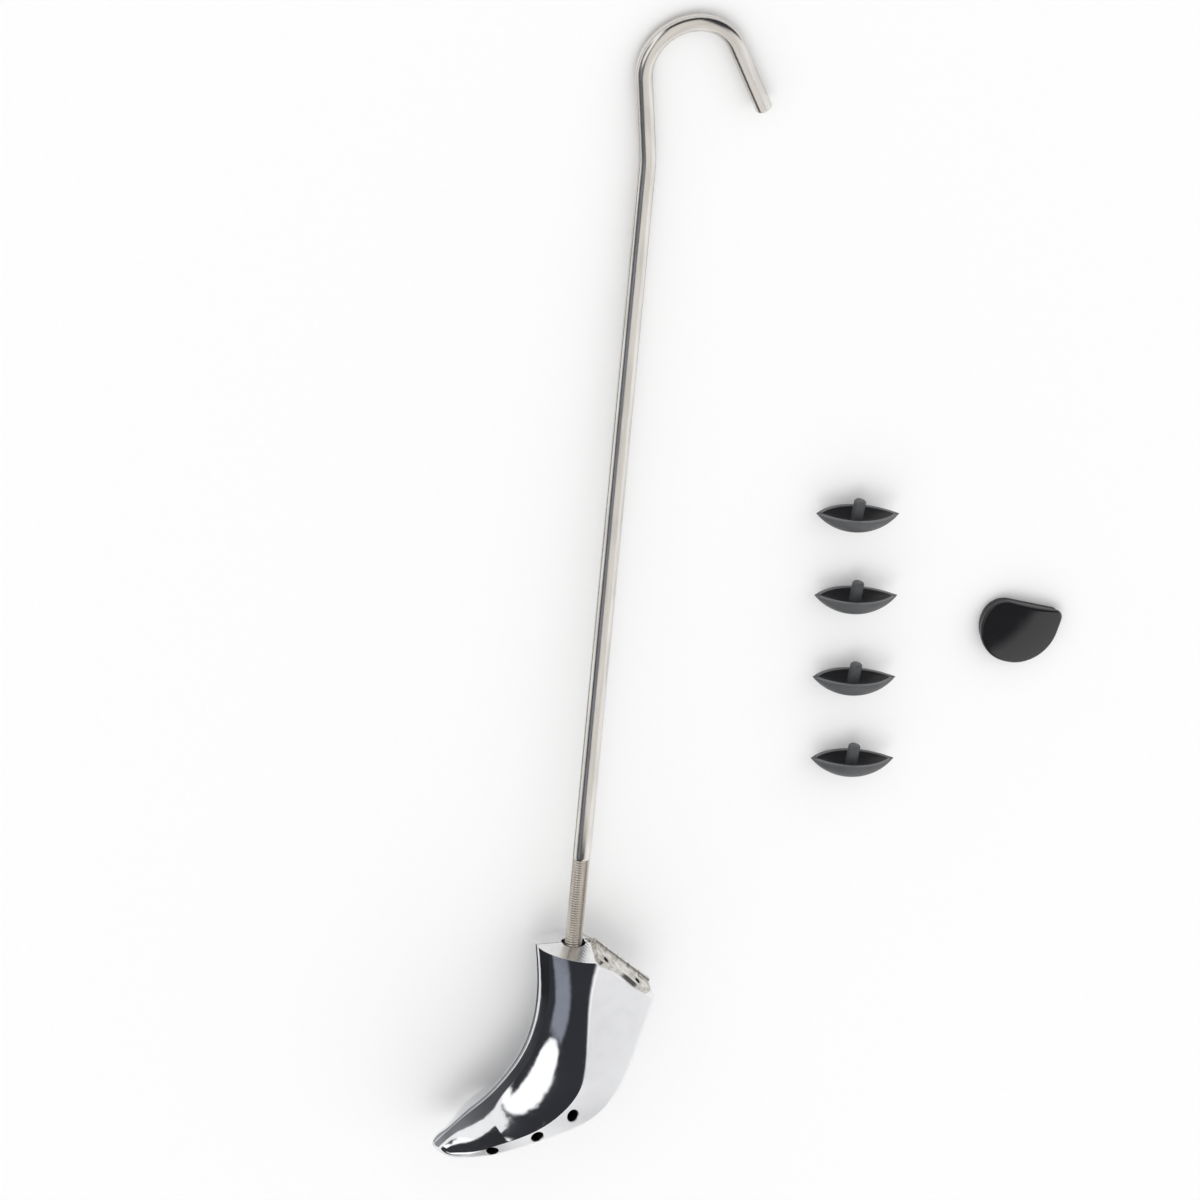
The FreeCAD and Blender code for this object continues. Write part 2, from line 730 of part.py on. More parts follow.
near_half = one_solid(last_half())
stretcher = {
    "near_last_half": near_half,
    "far_last_half": one_solid(mirrored(near_half)),
    "near_hinge_leaf": one_solid(hinge_leaf(1, PIN_R + PIN_FIT)),
    "far_hinge_leaf": one_solid(mirrored(hinge_leaf(0, PIN_R))),
    "near_leaf_screws": Part.makeCompound([one_solid(screw) for screw in leaf_screws()]),
    "far_leaf_screws": Part.makeCompound([one_solid(mirrored(screw)) for screw in leaf_screws()]),
    "hinge_pin": one_solid(hinge_pin()),
    "trunnion_nut": one_solid(trunnion_nut()),
    "rod_shank": one_solid(rod_shank()),
    "rod_hook": one_solid(rod_hook()),
    "thrust_washer": one_solid(washer(WASHER_R, CONE_TOP_Z, WASHER_T)),
    "spreader_cone": one_solid(spreader_cone()),
    "end_washer": one_solid(washer(RING_R, RING_TOP_Z, END_WASHER_T)),
    "retaining_ring": one_solid(retaining_ring()),
}

tilt_deg = resting_tilt(corners_of(stretcher["far_last_half"]), corners_of(stretcher["rod_hook"]))
lie = tilted(tilt_deg)
lift = -lowest(corners_of(stretcher["far_last_half"]), lie)
on_table = FreeCAD.Placement(UP * lift, lie)
pieces = {name: moved(shape, on_table) for name, shape in stretcher.items()}

side_down = FreeCAD.Rotation(UP, PLUG_TURN_DEG).multiply(FreeCAD.Rotation(TOEWARD, -90))
for i in range(PLUG_COUNT):
    spot = FreeCAD.Vector(PLUG_FIRST_X + i * PLUG_STEP_X, PLUG_FIRST_Y + i * PLUG_STEP_Y, PLUG_DEPTH)
    pieces["plug_%d" % (i + 1)] = moved(one_solid(plug()), FreeCAD.Placement(spot, side_down))
pad_place = FreeCAD.Placement(FreeCAD.Vector(PAD_X, PAD_Y, 0), FreeCAD.Rotation(UP, PAD_TURN_DEG))
pieces["pad_base"] = moved(one_solid(pad_base()), pad_place)
pieces["pad_cover"] = moved(one_solid(pad_cover()), pad_place)

# The origin goes to the middle of the whole layout, on the table.
spread = FreeCAD.BoundBox()
for shape in pieces.values():
    for point in corners_of(shape):
        spread.add(point)
to_middle = FreeCAD.Placement(FreeCAD.Vector(-spread.Center.x, -spread.Center.y, 0), FreeCAD.Rotation())

os.makedirs("parts", exist_ok=True)
for name, shape in pieces.items():
    moved(shape, to_middle).exportStep("parts/" + name + ".step")
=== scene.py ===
import json
import math

import bmesh
import bpy
import numpy as np
from mathutils import Matrix, Vector

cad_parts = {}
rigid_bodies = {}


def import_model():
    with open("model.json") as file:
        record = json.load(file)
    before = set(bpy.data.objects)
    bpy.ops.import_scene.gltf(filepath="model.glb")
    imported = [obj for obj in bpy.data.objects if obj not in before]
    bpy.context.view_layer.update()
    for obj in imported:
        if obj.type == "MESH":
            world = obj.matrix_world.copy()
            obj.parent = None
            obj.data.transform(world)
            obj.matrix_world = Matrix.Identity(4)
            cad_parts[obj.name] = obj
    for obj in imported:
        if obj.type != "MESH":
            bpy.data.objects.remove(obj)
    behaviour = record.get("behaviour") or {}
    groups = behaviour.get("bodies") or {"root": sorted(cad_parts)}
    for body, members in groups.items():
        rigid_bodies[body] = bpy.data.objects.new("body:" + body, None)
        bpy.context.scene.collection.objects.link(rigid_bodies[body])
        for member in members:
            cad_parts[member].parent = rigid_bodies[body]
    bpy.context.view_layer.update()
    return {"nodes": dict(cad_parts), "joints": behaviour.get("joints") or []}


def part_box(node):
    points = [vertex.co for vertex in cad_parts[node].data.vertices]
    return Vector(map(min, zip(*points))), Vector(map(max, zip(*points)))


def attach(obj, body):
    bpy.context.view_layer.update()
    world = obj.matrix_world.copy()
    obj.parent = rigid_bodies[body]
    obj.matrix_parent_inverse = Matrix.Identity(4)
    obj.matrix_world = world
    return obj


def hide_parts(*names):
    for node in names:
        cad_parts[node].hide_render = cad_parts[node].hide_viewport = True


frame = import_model()


# Last, in two halves. Cast aluminium, ground to the shape of a foot's front and buffed to a mirror on the
# flanks, with the side walls left satin from the belt. The flat faces are milled for rod, nut and spreader.
LAST_LENGTH = 150.0
BALL_HALF_WIDTH = 30.5
LAST_SECTIONS = (
    (0.147, 0.000, -0.380, 0.000, 0.42, 0.69, 0.49, 0.13, 0.52, 0.0),
    (0.122, -0.211, -0.315, -0.225, 0.37, 0.67, 0.44, 0.13, 0.48, 4.0),
    (0.137, -0.374, -0.255, -0.448, 0.45, 0.72, 0.47, 0.13, 0.44, 6.0),
    (0.180, -0.489, -0.182, -0.596, 0.52, 0.85, 0.62, 0.13, 0.36, 14.0),
    (0.240, -0.576, -0.080, -0.671, 0.52, 0.97, 0.84, 0.13, 0.26, 34.0),
    (0.313, -0.650, 0.133, -0.736, 0.56, 0.99, 0.93, 0.13, 0.17, 52.0),
    (0.383, -0.708, 0.287, -0.797, 0.57, 0.77, 0.73, 0.11, 0.17, 58.0),
    (0.438, -0.758, 0.395, -0.830, 0.72, 0.48, 0.42, 0.09, 0.24, 46.0),
    (0.468, -0.785, 0.458, -0.828, 0.72, 0.25, 0.21, 0.05, 0.42, 24.0),
    (0.481, -0.800, 0.479, -0.818, 0.60, 0.08, 0.07, 0.02, 0.60, 6.0),
)
ANKLE_ROOF = math.radians(9.7)
HEEL_FALL = math.radians(39.5)
HEEL_ROOF = math.radians(14.0)
RIM_ROUND, SEAM_HALF = 0.6, 0.2
FLANK_COLUMNS, WALL_COLUMNS, EDGE_COLUMNS, SOLE_COLUMNS, LAST_ROWS = 52, 16, 10, 10, 190

# The stretcher's own axes in millimetres, laid on the table: to the toe, to the near side and up the rod.
joints = {joint["name"]: joint for joint in frame["joints"]}
up_rod = -Vector(joints["rod_turn"]["axis"])
down_heel = -Vector(joints["near_half_open"]["axis"])
toeward = -(down_heel - up_rod * down_heel.dot(up_rod)).normalized()
nearward = up_rod.cross(toeward)
tool_turn = Matrix((toeward, nearward, up_rod)).transposed()
in_metres = Matrix.Scale(0.001, 4)
turn_only = tool_turn.to_4x4() @ in_metres
to_table = Matrix.Translation(joints["rod_turn"]["pos_m"]) @ tool_turn.to_4x4() @ in_metres


def section_poles(row):
    """Control points of flank, side wall, rounded edge and sole at one cross section."""
    rx, rz, sx, sz, crease_share, crease_w, sole_w, edge_w, full, turn = row
    ridge = np.array((rx, 0.0, rz)) * LAST_LENGTH
    sole = np.array((sx, 0.0, sz)) * LAST_LENGTH
    length = np.linalg.norm(sole - ridge)
    along = (sole - ridge) / length
    crease_c, crease_y, sole_y = crease_share * length, crease_w * BALL_HALF_WIDTH, sole_w * BALL_HALF_WIDTH

    def at(c, y):
        return ridge + along * c + np.array((0.0, y, 0.0))

    arrive = math.atan2(sole_y - crease_y, length - crease_c) + math.radians(turn)
    reach = 0.36 * crease_c
    crease, foot = at(crease_c, crease_y), at(length, sole_y)
    back = (crease - foot) / np.linalg.norm(crease - foot)
    ahead = (sole - foot) / np.linalg.norm(sole - foot)
    run = edge_w * BALL_HALF_WIDTH / math.tan(math.acos(back @ ahead) / 2)
    start, end = foot + back * run, foot + ahead * run
    handle = at(crease_c - reach * math.cos(arrive), crease_y - reach * math.sin(arrive))
    return (
        np.array((ridge, at(0, full * crease_y), handle, crease)),
        np.array((crease, start)),
        np.array((start, start + (foot - start) * 0.55, end + (foot - end) * 0.55, end)),
        np.array((end, sole)),
    )


def run_through(stations, points):
    """Smooth cubic run through the points; gives the place at any distance along the last."""
    count = len(stations)
    gaps = np.diff(stations)
    system, slopes = np.eye(count), np.zeros_like(points)
    for end, near in ((0, slice(0, 4)), (count - 1, slice(count - 4, count))):
        slopes[end] = np.polyfit(stations[near] - stations[end], points[near], 3)[2]
    for i in range(1, count - 1):
        system[i, i - 1:i + 2] = 1 / gaps[i - 1], 2 / gaps[i - 1] + 2 / gaps[i], 1 / gaps[i]
        before, after = (points[i] - points[i - 1]) / gaps[i - 1] ** 2, (points[i + 1] - points[i]) / gaps[i] ** 2
        slopes[i] = 3 * (before + after)
    slopes = np.linalg.solve(system, slopes)

    def at(distance):
        distance = np.atleast_1d(distance)
        i = np.clip(np.searchsorted(stations, distance, side="right") - 1, 0, count - 2)
        h = gaps[i][:, None]
        s = ((distance - stations[i]) / gaps[i])[:, None]
        return (
            points[i] * (2 * s ** 3 - 3 * s ** 2 + 1)
            + slopes[i] * h * (s ** 3 - 2 * s ** 2 + s)
            + points[i + 1] * (3 * s ** 2 - 2 * s ** 3)
            + slopes[i + 1] * h * (s ** 3 - s ** 2)
        )

    return at


section_middles = np.array([(row[0] + row[2], row[1] + row[3]) for row in LAST_SECTIONS]) * LAST_LENGTH / 2
stations = np.concatenate(((0.0,), np.cumsum(np.linalg.norm(np.diff(section_middles, axis=0), axis=1))))
pole_runs = []
for strip in zip(*[section_poles(row) for row in LAST_SECTIONS]):
    pole_runs.append([run_through(stations, np.array(points)) for points in zip(*strip)])


def skin_point(strip, u, distance):
    """Points of the last's skin at one place across it and any distances along it."""
    runs = pole_runs[strip]
    degree = len(runs) - 1
    total = 0
    for k, run in enumerate(runs):
        total = total + math.comb(degree, k) * u ** k * (1 - u) ** (degree - k) * run(distance)
    return total


heel_top = Vector((-0.063 * LAST_LENGTH, 0, 0))
heel_down = Vector((-math.cos(HEEL_FALL), 0, -math.sin(HEEL_FALL)))
heel_out = Vector((-math.sin(HEEL_FALL), 0, math.cos(HEEL_FALL)))
ankle_normal = np.array((0, math.sin(ANKLE_ROOF), math.cos(ANKLE_ROOF)))
heel_normal = np.array(heel_out * math.cos(HEEL_ROOF) + Vector((0, math.sin(HEEL_ROOF), 0)))


def rim_start(strip, u):
    """Distance at which a line of the skin leaves the milled faces, and whether the heel face is the lower."""
    def above(distance):
        point = skin_point(strip, u, distance)
        return point @ ankle_normal, (point - np.array(heel_top)) @ heel_normal

    trial = np.linspace(0, 0.7 * stations[-1], 300)
    ankle, heel = above(trial)
    first = int(np.argmax(np.maximum(ankle, heel)[1:] < 0)) + 1
    low, high = trial[first - 1], trial[first]
    for step in range(40):
        middle = (low + high) / 2
        if max(value[0] for value in above(middle)) > 0:
            low = middle
        else:
            high = middle
    ankle, heel = above(high)
    return high, heel[0] > ankle[0]


columns = []
for strip, count in enumerate((FLANK_COLUMNS, WALL_COLUMNS, EDGE_COLUMNS, SOLE_COLUMNS)):
    for u in np.linspace(0, 1, count + 1)[min(strip, 1):]:
        columns.append((strip, u))
starts = [rim_start(*column) for column in columns]
turn_at = next(i for i, start in enumerate(starts) if start[1])
strip, low_u, high_u = columns[turn_at][0], 0.0, columns[turn_at][1]
if columns[turn_at - 1][0] == strip:
    low_u = columns[turn_at - 1][1]
for step in range(30):
    middle_u = (low_u + high_u) / 2
    if rim_start(strip, middle_u)[1]:
        high_u = middle_u
    else:
        low_u = middle_u
columns[turn_at] = (strip, high_u)
starts[turn_at] = rim_start(strip, high_u)
last_grid = []
for (strip, u), (start, heel) in zip(columns, starts):
    share = 1 - (1 - np.linspace(0, 1, LAST_ROWS)) ** 1.3
    last_grid.append(skin_point(strip, u, start + (stations[-1] - start) * share))


def mesh_of(name, shape):
    """Mesh of a shape, which is used up, with its faces turned outwards."""
    bmesh.ops.recalc_face_normals(shape, faces=shape.faces)
    mesh = bpy.data.meshes.new(name)
    shape.to_mesh(mesh)
    shape.free()
    return mesh


def closed_mesh(name, loops, finishes=(0,)):
    """Closed mesh over a stack of matching loops, its two ends capped; one finish, or one for each band."""
    shape = bmesh.new()
    rings = [[shape.verts.new(point) for point in loop] for loop in loops]
    finishes = list(finishes) + [finishes[-1]] * len(rings)
    for lower, upper, index in zip(rings, rings[1:], finishes):
        for i in range(len(lower)):
            shape.faces.new((lower[i - 1], lower[i], upper[i], upper[i - 1])).material_index = index
    shape.faces.new(rings[0]).material_index = finishes[0]
    shape.faces.new(rings[-1]).material_index = finishes[-1]
    return mesh_of(name, shape)


def circle(centre, axis, radius, count=64):
    """Points of a circle about an axis."""
    axis = Vector(axis).normalized()
    side = axis.orthogonal().normalized()
    other = axis.cross(side)
    points = []
    for i in range(count):
        angle = math.tau * i / count
        points.append(Vector(centre) + (side * math.cos(angle) + other * math.sin(angle)) * radius)
    return points


def rounded_outline(corners, radii, steps=8):
    """Flat outline with each of its corners rounded by its own radius."""
    points = []
    for i, radius in enumerate(radii):
        here = Vector(corners[i])
        back = (Vector(corners[i - 1]) - here).normalized()
        ahead = (Vector(corners[(i + 1) % len(corners)]) - here).normalized()
        half = back.angle(ahead) / 2
        centre = here + (back + ahead).normalized() * (radius / math.sin(half))
        start = here + back * (radius / math.tan(half)) - centre
        end = here + ahead * (radius / math.tan(half)) - centre
        sweep = start.angle(end)
        for step in range(steps + 1):
            share = step / steps
            weight = math.sin((1 - share) * sweep), math.sin(share * sweep)
            points.append(centre + (start * weight[0] + end * weight[1]) / math.sin(sweep))
    return points


def place_in(piece_mesh, matrix):
    piece_mesh.transform(matrix)
    piece_mesh.update()
    return piece_mesh


def show(name, mesh):
    piece = bpy.data.objects.new(name, mesh)
    bpy.context.scene.collection.objects.link(piece)
    return piece


def as_shown(piece):
    """Plain mesh of a piece as its modifiers leave it."""
    return bpy.data.meshes.new_from_object(piece.evaluated_get(bpy.context.evaluated_depsgraph_get()))


def carved(piece, cutters, operation="DIFFERENCE"):
    """Mesh of a piece after cutting or joining other meshes, which are used up."""
    tools = bpy.data.collections.new("tools")
    bpy.context.scene.collection.children.link(tools)
    for cutter in cutters:
        tool = bpy.data.objects.new("tool", cutter)
        for material in piece.data.materials:
            if len(cutter.materials) < len(piece.data.materials):
                cutter.materials.append(material)
        tools.objects.link(tool)
    cut = piece.modifiers.new("cut", "BOOLEAN")
    cut.operation = operation
    cut.operand_type = "COLLECTION"
    cut.collection = tools
    cut.solver = "EXACT"
    cut.material_mode = "INDEX"
    result = as_shown(piece)
    piece.modifiers.remove(cut)
    for tool in list(tools.objects):
        bpy.data.objects.remove(tool)
    bpy.data.collections.remove(tools)
    return result


def dressed(piece, mesh, sharp_deg=30.0):
    """Gives a piece its finished mesh: crisp where faces turn or finishes meet, flat faces shaded flat."""
    shape = bmesh.new()
    shape.from_mesh(mesh)
    bmesh.ops.remove_doubles(shape, verts=shape.verts, dist=1e-7)
    for face in shape.faces:
        face.smooth = True
    for edge in shape.edges:
        edge.smooth = True
        if len(edge.link_faces) == 2:
            first, second = edge.link_faces
            turned = edge.calc_face_angle(0) > math.radians(sharp_deg)
            edge.smooth = not turned and first.material_index == second.material_index
    shape.to_mesh(mesh)
    shape.free()
    piece.data = mesh
    weigh = piece.modifiers.new("weigh", "WEIGHTED_NORMAL")
    weigh.keep_sharp = True
    weigh.weight = 60
    result = as_shown(piece)
    piece.modifiers.remove(weigh)
    piece.data = result
    return piece


class Grain:
    """One output in a node tree. Arithmetic on it adds Math nodes."""

    def __init__(self, tree, socket=None):
        self.tree = tree
        self.socket = socket

    def add(self, kind, settings, sockets, output=0):
        """Any node: its settings first, then the values or links of its sockets; gives one output."""
        node = self.tree.nodes.new(kind)
        for name, setting in settings.items():
            setattr(node, name, setting)
        for name, value in sockets.items():
            if isinstance(value, Grain):
                self.tree.links.new(value.socket, node.inputs[name])
            else:
                node.inputs[name].default_value = value
        return Grain(self.tree, node.outputs[output])

    def maths(self, operation, first, second=0.0):
        return self.add("ShaderNodeMath", {"operation": operation}, {0: first, 1: second})

    def __add__(self, other):
        return self.maths("ADD", self, other)

    def __radd__(self, other):
        return self.maths("ADD", other, self)

    def __sub__(self, other):
        return self.maths("SUBTRACT", self, other)

    def __rsub__(self, other):
        return self.maths("SUBTRACT", other, self)

    def __mul__(self, other):
        return self.maths("MULTIPLY", self, other)

    def __rmul__(self, other):
        return self.maths("MULTIPLY", other, self)

    def stretched(self, scale, turn=(0, 0, 0)):
        return self.add("ShaderNodeMapping", {}, {"Vector": self, "Rotation": turn, "Scale": scale})

    def mottle(self, scale, detail=3.0, roughness=0.5):
        """Cloudy value about 0.5 over these places."""
        sockets = {"Vector": self, "Scale": scale, "Detail": detail, "Roughness": roughness}
        return self.add("ShaderNodeTexNoise", {}, sockets)

    def between(self, low, high):
        """Smooth step of this value from 0 at low to 1 at high."""
        sockets = {"Value": self, "From Min": low, "From Max": high}
        return self.add("ShaderNodeMapRange", {"interpolation_type": "SMOOTHSTEP"}, sockets)

    def tint(self, low, high):
        """Colour between two, by this value."""
        low, high = [end if isinstance(end, Grain) else (*end, 1) for end in (low, high)]
        return self.add("ShaderNodeMix", {"data_type": "RGBA"}, {0: self, 6: low, 7: high}, 2)

    def relief(self, strength, depth):
        return self.add("ShaderNodeBump", {}, {"Height": self, "Strength": strength, "Distance": depth})


METAL = {"Metallic": 1.0}


def finish(name, steady, attribute=None):
    """New finish with steady values on its sockets, and the places it varies by: metres, or an attribute."""
    material = bpy.data.materials.new(name)
    material.use_nodes = True
    for socket, value in steady.items():
        material.node_tree.nodes["Principled BSDF"].inputs[socket].default_value = value
    nodes = Grain(material.node_tree)
    if attribute:
        return material, nodes.add("ShaderNodeAttribute", {"attribute_name": attribute}, {}, "Vector")
    return material, nodes.add("ShaderNodeTexCoord", {}, {}, "Object")


def feed(material, varying):
    shader = material.node_tree.nodes["Principled BSDF"]
    for socket, value in varying.items():
        material.node_tree.links.new(value.socket, shader.inputs[socket])


buffed_flank, spot = finish("buffed_flank", METAL)
haze = spot.mottle(46.0, 4.0)
swirl = spot.stretched((240.0, 900.0, 240.0)).mottle(1.0, 2.0)
cells = {"Vector": spot, "Scale": 420.0, "Randomness": 1.0}
pit = 1 - spot.add("ShaderNodeTexVoronoi", {}, cells).between(0.05, 0.11)
rare = spot.mottle(620.0, 1.0).between(0.62, 0.70)
pits = pit * rare
cloud = haze.between(0.35, 0.7).tint((0.80, 0.805, 0.82), (0.88, 0.885, 0.90))
buff_colour = pits.tint(cloud, (0.55, 0.55, 0.56))
buff_rough = 0.07 + haze.between(0.45, 0.75) * 0.05 + swirl.between(0.5, 0.8) * 0.05 + pits * 0.15
wavy = spot.mottle(70.0, 2.0) * 0.7 + spot.mottle(190.0, 1.0) * 0.3
buff_relief = (wavy - pits * 0.3).relief(0.17, 0.0007)
feed(buffed_flank, {"Base Color": buff_colour, "Roughness": buff_rough, "Normal": buff_relief})

satin_wall, spot = finish("satin_wall", METAL)
belt = spot.stretched((1500.0, 120.0, 1500.0), (0, 0, 0.5)).mottle(1.0, 4.0, 0.65)
stain = spot.mottle(90.0, 4.0).between(0.42, 0.72)
satin_colour = stain.tint((0.91, 0.912, 0.925), (0.885, 0.887, 0.90))
satin_rough = 0.36 + belt * 0.14 + stain * 0.02
feed(satin_wall, {"Base Color": satin_colour, "Roughness": satin_rough, "Normal": belt.relief(0.10, 0.00025)})

milled_face, spot = finish("milled_face", METAL)
sweep = {"Vector": spot, "Scale": 420.0, "Distortion": 1.2, "Detail": 2.0}
cutter_marks = spot.add("ShaderNodeTexWave", {"wave_type": "RINGS", "rings_direction": "Z"}, sweep, "Fac")
dulling = spot.mottle(140.0, 3.0)
feed(milled_face, {
    "Base Color": dulling.between(0.35, 0.7).tint((0.90, 0.90, 0.91), (0.82, 0.82, 0.83)),
    "Roughness": 0.13 + dulling * 0.12 + cutter_marks * 0.04,
    "Normal": cutter_marks.relief(0.12, 0.00015),
})

# Walls of the drilled holes: their dark, mottled colour is painted shade inside the recesses.
drilled_hole, spot = finish("drilled_hole", METAL)
painted_hole_shade = spot.mottle(700.0, 3.0).between(0.35, 0.7)
feed(drilled_hole, {
    "Base Color": painted_hole_shade.tint((0.20, 0.20, 0.205), (0.07, 0.07, 0.072)),
    "Roughness": 0.40 + painted_hole_shade * 0.2,
    "Normal": spot.stretched((500.0, 500.0, 3000.0)).mottle(1.0, 2.0).relief(0.2, 0.0002),
})

SHOULDER_Z = -0.307 * LAST_LENGTH
NUT_Z = -0.12 * LAST_LENGTH
POCKET = ((0.140, -0.590), (0.227, -0.648), (0.330, -0.736), (0.300, -0.752), (0.173, -0.702), (0.090, -0.668))
PEG_HOLES = ((0.307, -0.772), (0.151, -0.704), (0.012, -0.636))
ROD_SLOT_R, ROD_SLOT_EXTRA, ROD_SLOT_TOP, CHAMBER_HALF = 5.8, 1.2, 9.0, 9.9
RAMP_HALF, RAMP_SLOPE = 9.42, math.tan(math.radians(10))
SOCKET_R, SOCKET_HALF, KNUCKLE_ROOM_R = 7.85, 12.35, 2.8
POCKET_ROUND, POCKET_DEPTH = 2.0, 0.29 * BALL_HALF_WIDTH
HOLE_R, HOLE_RIM_R, HOLE_DEPTH, HOLE_CHAMFER = 3.5, 4.0, 10.0, 0.35
chamber_top, chamber_foot, cone_top = SHOULDER_Z + 3.0, SHOULDER_Z - 40.8, SHOULDER_Z - 1.6
hinge_centre = heel_top + heel_out * 0.4


def ramp_half(z):
    return RAMP_HALF + (z - cone_top) * RAMP_SLOPE


def wall_spot(x, z):
    """Place on the near side wall that is seen at x, z from the side, and the way out of the wall there."""
    u, distance = 0.5, 0.6 * stations[-1]
    for step in range(12):
        here = skin_point(1, u, distance)[0]
        across = (skin_point(1, u + 1e-4, distance)[0] - here) * 1e4
        along = (skin_point(1, u, distance + 1e-3)[0] - here) * 1e3
        both = np.array((across[[0, 2]], along[[0, 2]])).T
        move = np.linalg.solve(both, np.array((x, z)) - here[[0, 2]])
        u, distance = u + move[0], distance + move[1]
    out = Vector(np.cross(along, across)).normalized()
    return Vector(here), out * math.copysign(1.0, out.y)


def last_cutters(side):
    """Everything milled and drilled into one half."""
    stadium = []
    for i in range(64):
        angle = math.tau * i / 64
        x = ROD_SLOT_R * math.cos(angle) + math.copysign(ROD_SLOT_EXTRA, math.cos(angle))
        stadium.append(Vector((x, ROD_SLOT_R * math.sin(angle), 0)))
    corners = [(CHAMBER_HALF * x, y) for x, y in ((-1, -1), (1, -1), (1, 1), (-1, 1))]
    pocket = rounded_outline([Vector((x, z)) * LAST_LENGTH for x, z in POCKET], [POCKET_ROUND] * len(POCKET))
    stacks = (
        [[point + Vector((0, 0, z)) for point in stadium] for z in (chamber_top - 1, ROD_SLOT_TOP)],
        [[Vector((x, y * ramp_half(z), z)) for x, y in corners] for z in (chamber_foot, chamber_top)],
        [circle((0, y, NUT_Z), (0, 1, 0), SOCKET_R) for y in (-SOCKET_HALF, SOCKET_HALF)],
        [circle(hinge_centre + heel_down * run, heel_down, KNUCKLE_ROOM_R) for run in (-60.0, 120.0)],
        [[Vector((p.x, y * side, p.y)) for p in pocket] for y in (-2.0, POCKET_DEPTH)],
    )
    cutters = [closed_mesh("cutter", stack, (2,)) for stack in stacks]
    steps = ((-HOLE_DEPTH, HOLE_R), (-HOLE_CHAMFER, HOLE_R), (HOLE_CHAMFER, HOLE_RIM_R), (14.0, HOLE_RIM_R))
    for x, z in PEG_HOLES:
        mouth, out = wall_spot(x * LAST_LENGTH, z * LAST_LENGTH)
        mouth.y, out.y = mouth.y * side, out.y * side
        drill = [circle(mouth + out * reach, out, radius) for reach, radius in steps]
        cutters.append(closed_mesh("drill", drill, (3, 1)))
    return [place_in(cutter, to_table) for cutter in cutters]


def last_half(name, side, body, node):
    """One half of the last: skin, milled faces with softened rims, then its cuts."""
    shape = bmesh.new()
    grid = []
    for column in last_grid:
        grid.append([shape.verts.new((x, (y + SEAM_HALF) * side, z)) for x, y, z in column])
    corner = shape.verts.new((heel_top.x, SEAM_HALF * side, heel_top.z))
    for (strip, u), left, right in zip(columns[1:], grid, grid[1:]):
        for i in range(LAST_ROWS - 1):
            face = shape.faces.new((left[i], left[i + 1], right[i + 1], right[i]))
            face.material_index = min(strip, 1)
    rim = [column[0] for column in grid]
    toe = [column[-1] for column in grid]
    faces = [rim[:turn_at + 1] + [corner], rim[turn_at:] + [corner], grid[0] + grid[-1][::-1] + [corner]]
    for loop in faces:
        shape.faces.new(loop).material_index = 2
    shape.faces.new(toe).material_index = 1
    bmesh.ops.recalc_face_normals(shape, faces=shape.faces)
    rims = [edge for edge in shape.edges if max(len(face.verts) for face in edge.link_faces) > 4]
    bevel = {"segments": 3, "profile": 0.5, "affect": "EDGES", "clamp_overlap": True, "material": -1}
    bmesh.ops.bevel(shape, geom=rims, offset=RIM_ROUND, **bevel)
    mesh = bpy.data.meshes.new(name)
    shape.to_mesh(mesh)
    shape.free()
    for material in (buffed_flank, satin_wall, milled_face, drilled_hole):
        mesh.materials.append(material)
    piece = show(name, place_in(mesh, to_table))
    dressed(piece, carved(piece, last_cutters(side)))
    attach(piece, body)
    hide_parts(node)


last_half("last_far", -1, "far_half", "far_last_half")
last_half("last_near", 1, "near_half", "near_last_half")


# Heel hinge leaves. Pressed steel plates with a warm plated finish, lobed round their screws, with every second
# knuckle rolled from the plate round the pin. They lie on the roofed heel face.
LEAF_T, LEAF_START, LEAF_LENGTH = 1.6, 2.2, 45.0
LEAF_EDGE = ((0.0, 18.8), (0.45, 12.0), (0.76, 14.3), (1.0, 10.4))
SCREW_SPOTS = ((0.149, 12.3), (0.744, 9.65))
KNUCKLE_R, KNUCKLE_PITCH, KNUCKLE_GAP = 2.4, LEAF_LENGTH / 5, 0.35
LEAF_INNER, WEB_REACH, PIN_BORE_R = 2.8, 3.3, 1.16


def on_heel(side, run, across, out):
    """Point on one side of the roofed heel face: down it, across from the split and out of it."""
    sideways = Vector((0, side, 0)) * math.cos(HEEL_ROOF) - heel_out * math.sin(HEEL_ROOF)
    outward = heel_out * math.cos(HEEL_ROOF) + Vector((0, side, 0)) * math.sin(HEEL_ROOF)
    return heel_top + heel_down * run + sideways * across + outward * out


screw_spots = [(LEAF_START + share * LEAF_LENGTH, across) for share, across in SCREW_SPOTS]


def new_tree(name, inputs):
    """Empty node tree with its named inputs: the start of its nodes, and the inputs by name."""
    tree = bpy.data.node_groups.new(name, "GeometryNodeTree")
    for label, kind in inputs.items():
        tree.interface.new_socket(label, in_out="INPUT", socket_type="NodeSocket" + kind)
    tree.interface.new_socket("Geometry", in_out="OUTPUT", socket_type="NodeSocketGeometry")
    outputs = tree.nodes.new("NodeGroupInput").outputs
    return Grain(tree), {label: Grain(tree, outputs[label]) for label in inputs}


def end_tree(shaped, material):
    """Ends a node tree: instances made real, then the finish."""
    real = shaped.add("GeometryNodeRealizeInstances", {}, {"Geometry": shaped})
    coated = shaped.add("GeometryNodeSetMaterial", {}, {"Geometry": real, "Material": material})
    shaped.tree.links.new(coated.socket, shaped.tree.nodes.new("NodeGroupOutput").inputs["Geometry"])


row, sizes = new_tree("row_of_pieces", {
    "Shape": "Object", "First": "Vector", "Step": "Vector", "Count": "Int", "Finish": "Material",
})
line = row.add("GeometryNodeMeshLine", {"mode": "OFFSET"}, {
    "Count": sizes["Count"], "Start Location": sizes["First"], "Offset": sizes["Step"],
})
sample = row.add("GeometryNodeObjectInfo", {}, {"Object": sizes["Shape"]}, "Geometry")
end_tree(row.add("GeometryNodeInstanceOnPoints", {}, {"Points": line, "Instance": sample}), sizes["Finish"])


